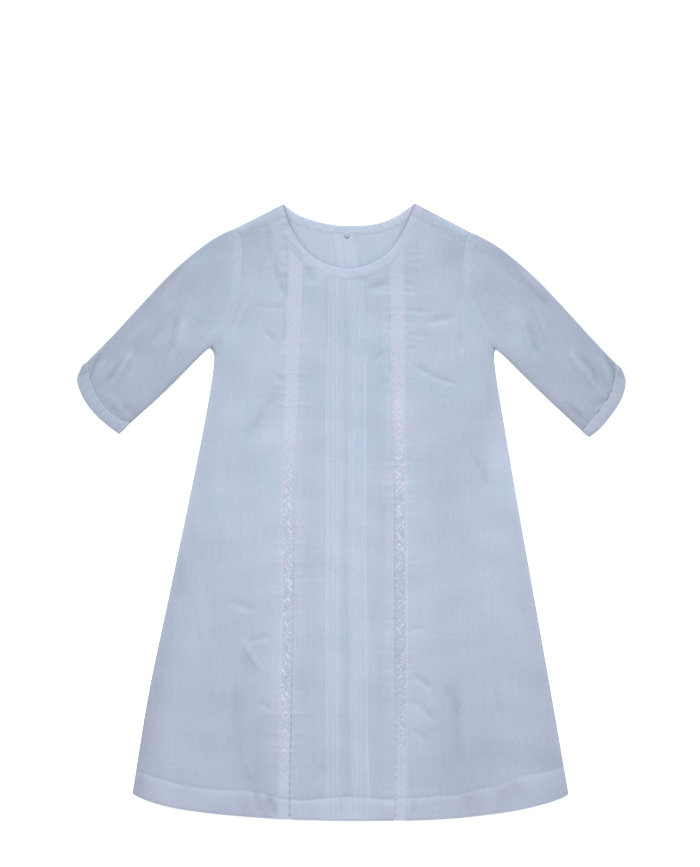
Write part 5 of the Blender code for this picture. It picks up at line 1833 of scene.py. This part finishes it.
# %% [markdown]
# ## Stitches
# Rows of fine machine stitches hold the hem, the lace, the bindings and the facings.
# Each stitch is a small spindle, laid along its row and sunk a little into the cloth.
# A dashed line in the finish would look printed when seen closely, and a thousand
# objects would be slow, so all the stitches of a kind are one mesh.

# %% Stitches
STITCH_PITCH = 2.3
STITCH_HALF = 0.82
STITCH_HALF_WIDTH = 0.17
STITCH_HALF_HEIGHT = 0.13
HEM_ROW_INSET = 0.9  # how far the hem's stitches are from its top
LACE_ROW_OUT = 1.15  # and the lace's from its edges
NECK_ROW_DROP = {"front": 1.4, "back": 1.3}  # and the neck's from its seams
CUFF_ROW_IN = 1.3  # and the cuffs' from theirs


def stitch_row(line, level, seed):
    """Stitches along a line, at a height given for each."""
    draw = np.random.default_rng(seed)
    count = max(2, int(lengths_along(line)[-1] / STITCH_PITCH))
    places = stretch(line, 0.5 / count, 1 - 0.5 / count, count - 1)
    ahead = np.gradient(places, axis=0)
    ahead /= np.hypot(*ahead.T)[:, None]
    turn = draw.normal(0, 0.07, count)
    ahead = np.column_stack([
        ahead[:, 0] * np.cos(turn) - ahead[:, 1] * np.sin(turn),
        ahead[:, 0] * np.sin(turn) + ahead[:, 1] * np.cos(turn),
    ])
    middles = np.column_stack([places, level(places[:, 0], places[:, 1])])
    return spindle_shape(middles, ahead, STITCH_HALF, STITCH_HALF_WIDTH, STITCH_HALF_HEIGHT)


def add_stitches(name, rows):
    stitches = add_piece(name, together(rows), sewing_thread, 1.0, sharp=math.pi)
    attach(stitches, "root")
    print(name, made[name], "triangles")
    return stitches


# %% Sew the rows of stitches
def front_stitch(x, y):
    return front_height(x, y) + 0.04


def hem_row(left_edge, right_edge, level, seed):
    """Stitches just under the hem's top, from one edge to the other."""
    left, right = within_hem(left_edge)[-1, 0], within_hem(right_edge)[-1, 0]
    line = hem_line(left + 1, right - 1, HEM_DEPTH - HEM_ROW_INSET, 60)
    return stitch_row(line, level, seed)


hem_rows = [hem_row(*edges, lambda x, y: hem_height(x, y) + 0.05, 101) for edges in hem_edges.values()]
hem_rows.append(hem_row(side_seam("left"), side_seam("right"), lambda x, y: UNDER_LEVEL + 0 * x, 102))
hem_stitches = add_stitches("hem_stitches", hem_rows)

lace_rows = []
for side, _ in SIDES:
    for edge in (-1, 1):
        line = between(lace_edge(side, edge, LACE_ROW_OUT), 0.6)
        lace_rows.append(stitch_row(line, front_stitch, 110 + edge))
lace_stitches = add_stitches("lace_stitches", lace_rows)

front_row, back_row = moved(FRONT_SEAM, NECK_ROW_DROP["front"]), moved(BACK_SEAM, NECK_ROW_DROP["back"])
neck_rows = [
    stitch_row(front_row, lambda x, y: front_height(x, y) + 0.25, 120),
    stitch_row(back_row, lambda x, y: back_height(x, y) + 0.34, 121),
]
heights = np.linspace(SLIT_FOOT_Y + 1.5, SLIT_FOOT_Y + OPENING_LENGTH - 1.5, 30)
for offset in (-UNDERLAP + 0.9, -1.0, 1.0, OVERLAP - 0.9):
    line = np.column_stack([slit_x(heights, offset), heights])
    thick = 0.16 if offset < 0 else 0.24
    neck_rows.append(stitch_row(line, lambda x, y: back_height(x, y) + thick, 122))
neck_stitches = add_stitches("neck_stitches", neck_rows)

cuff_rows = []
for side, sign in SIDES:
    line = moved(stretch(sleeve_edges(side)[0], 0.05, 0.95, 60), sign * CUFF_ROW_IN)
    cuff_rows.append(stitch_row(line, lambda x, y: SLEEVE_MIDDLE + 1.8 + 0 * x, 130))
cuff_stitches = add_stitches("cuff_stitches", cuff_rows)

# %% [markdown]
# ## What each sheet was cut to
# Each cloth panel is a sheet of its own. Its flat size is the cut of what shows: the box
# that it fits in and its true area, printed for the side panels, the centre panel and the
# back. A sleeve is cut all round, so it is twice as wide as it looks; the last loop only
# looks up each sleeve and its edges.

# %% Sheets
def flat_size(grids):
    points = np.vstack([grid.reshape(-1, 2) for grid in grids])
    width, length = (points.max(0) - points.min(0)) * MM
    return float(width), float(length)


for side, _ in SIDES:
    front, grid = fronts[side]
    size, area = flat_size([grid]), flat_area(grid)
    print(front.name, "cut", np.round(size, 3), "m,", round(area, 4), "square metres")

size, area = flat_size([centre_grid]), flat_area(centre_grid)
print(centre.name, "cut", np.round(size, 3), "m,", round(area, 4), "square metres")

size, area = flat_size(back_grids), sum(flat_area(grid) for grid in back_grids)
print(back.name, "cut", np.round(size, 3), "m,", round(area, 4), "square metres")

for side, _ in SIDES:
    sleeve, area = sleeves[side]
    cuff_seam, overarm, underarm = sleeve_edges(side)

# %% Finish
print("triangles in all:", sum(made.values()))
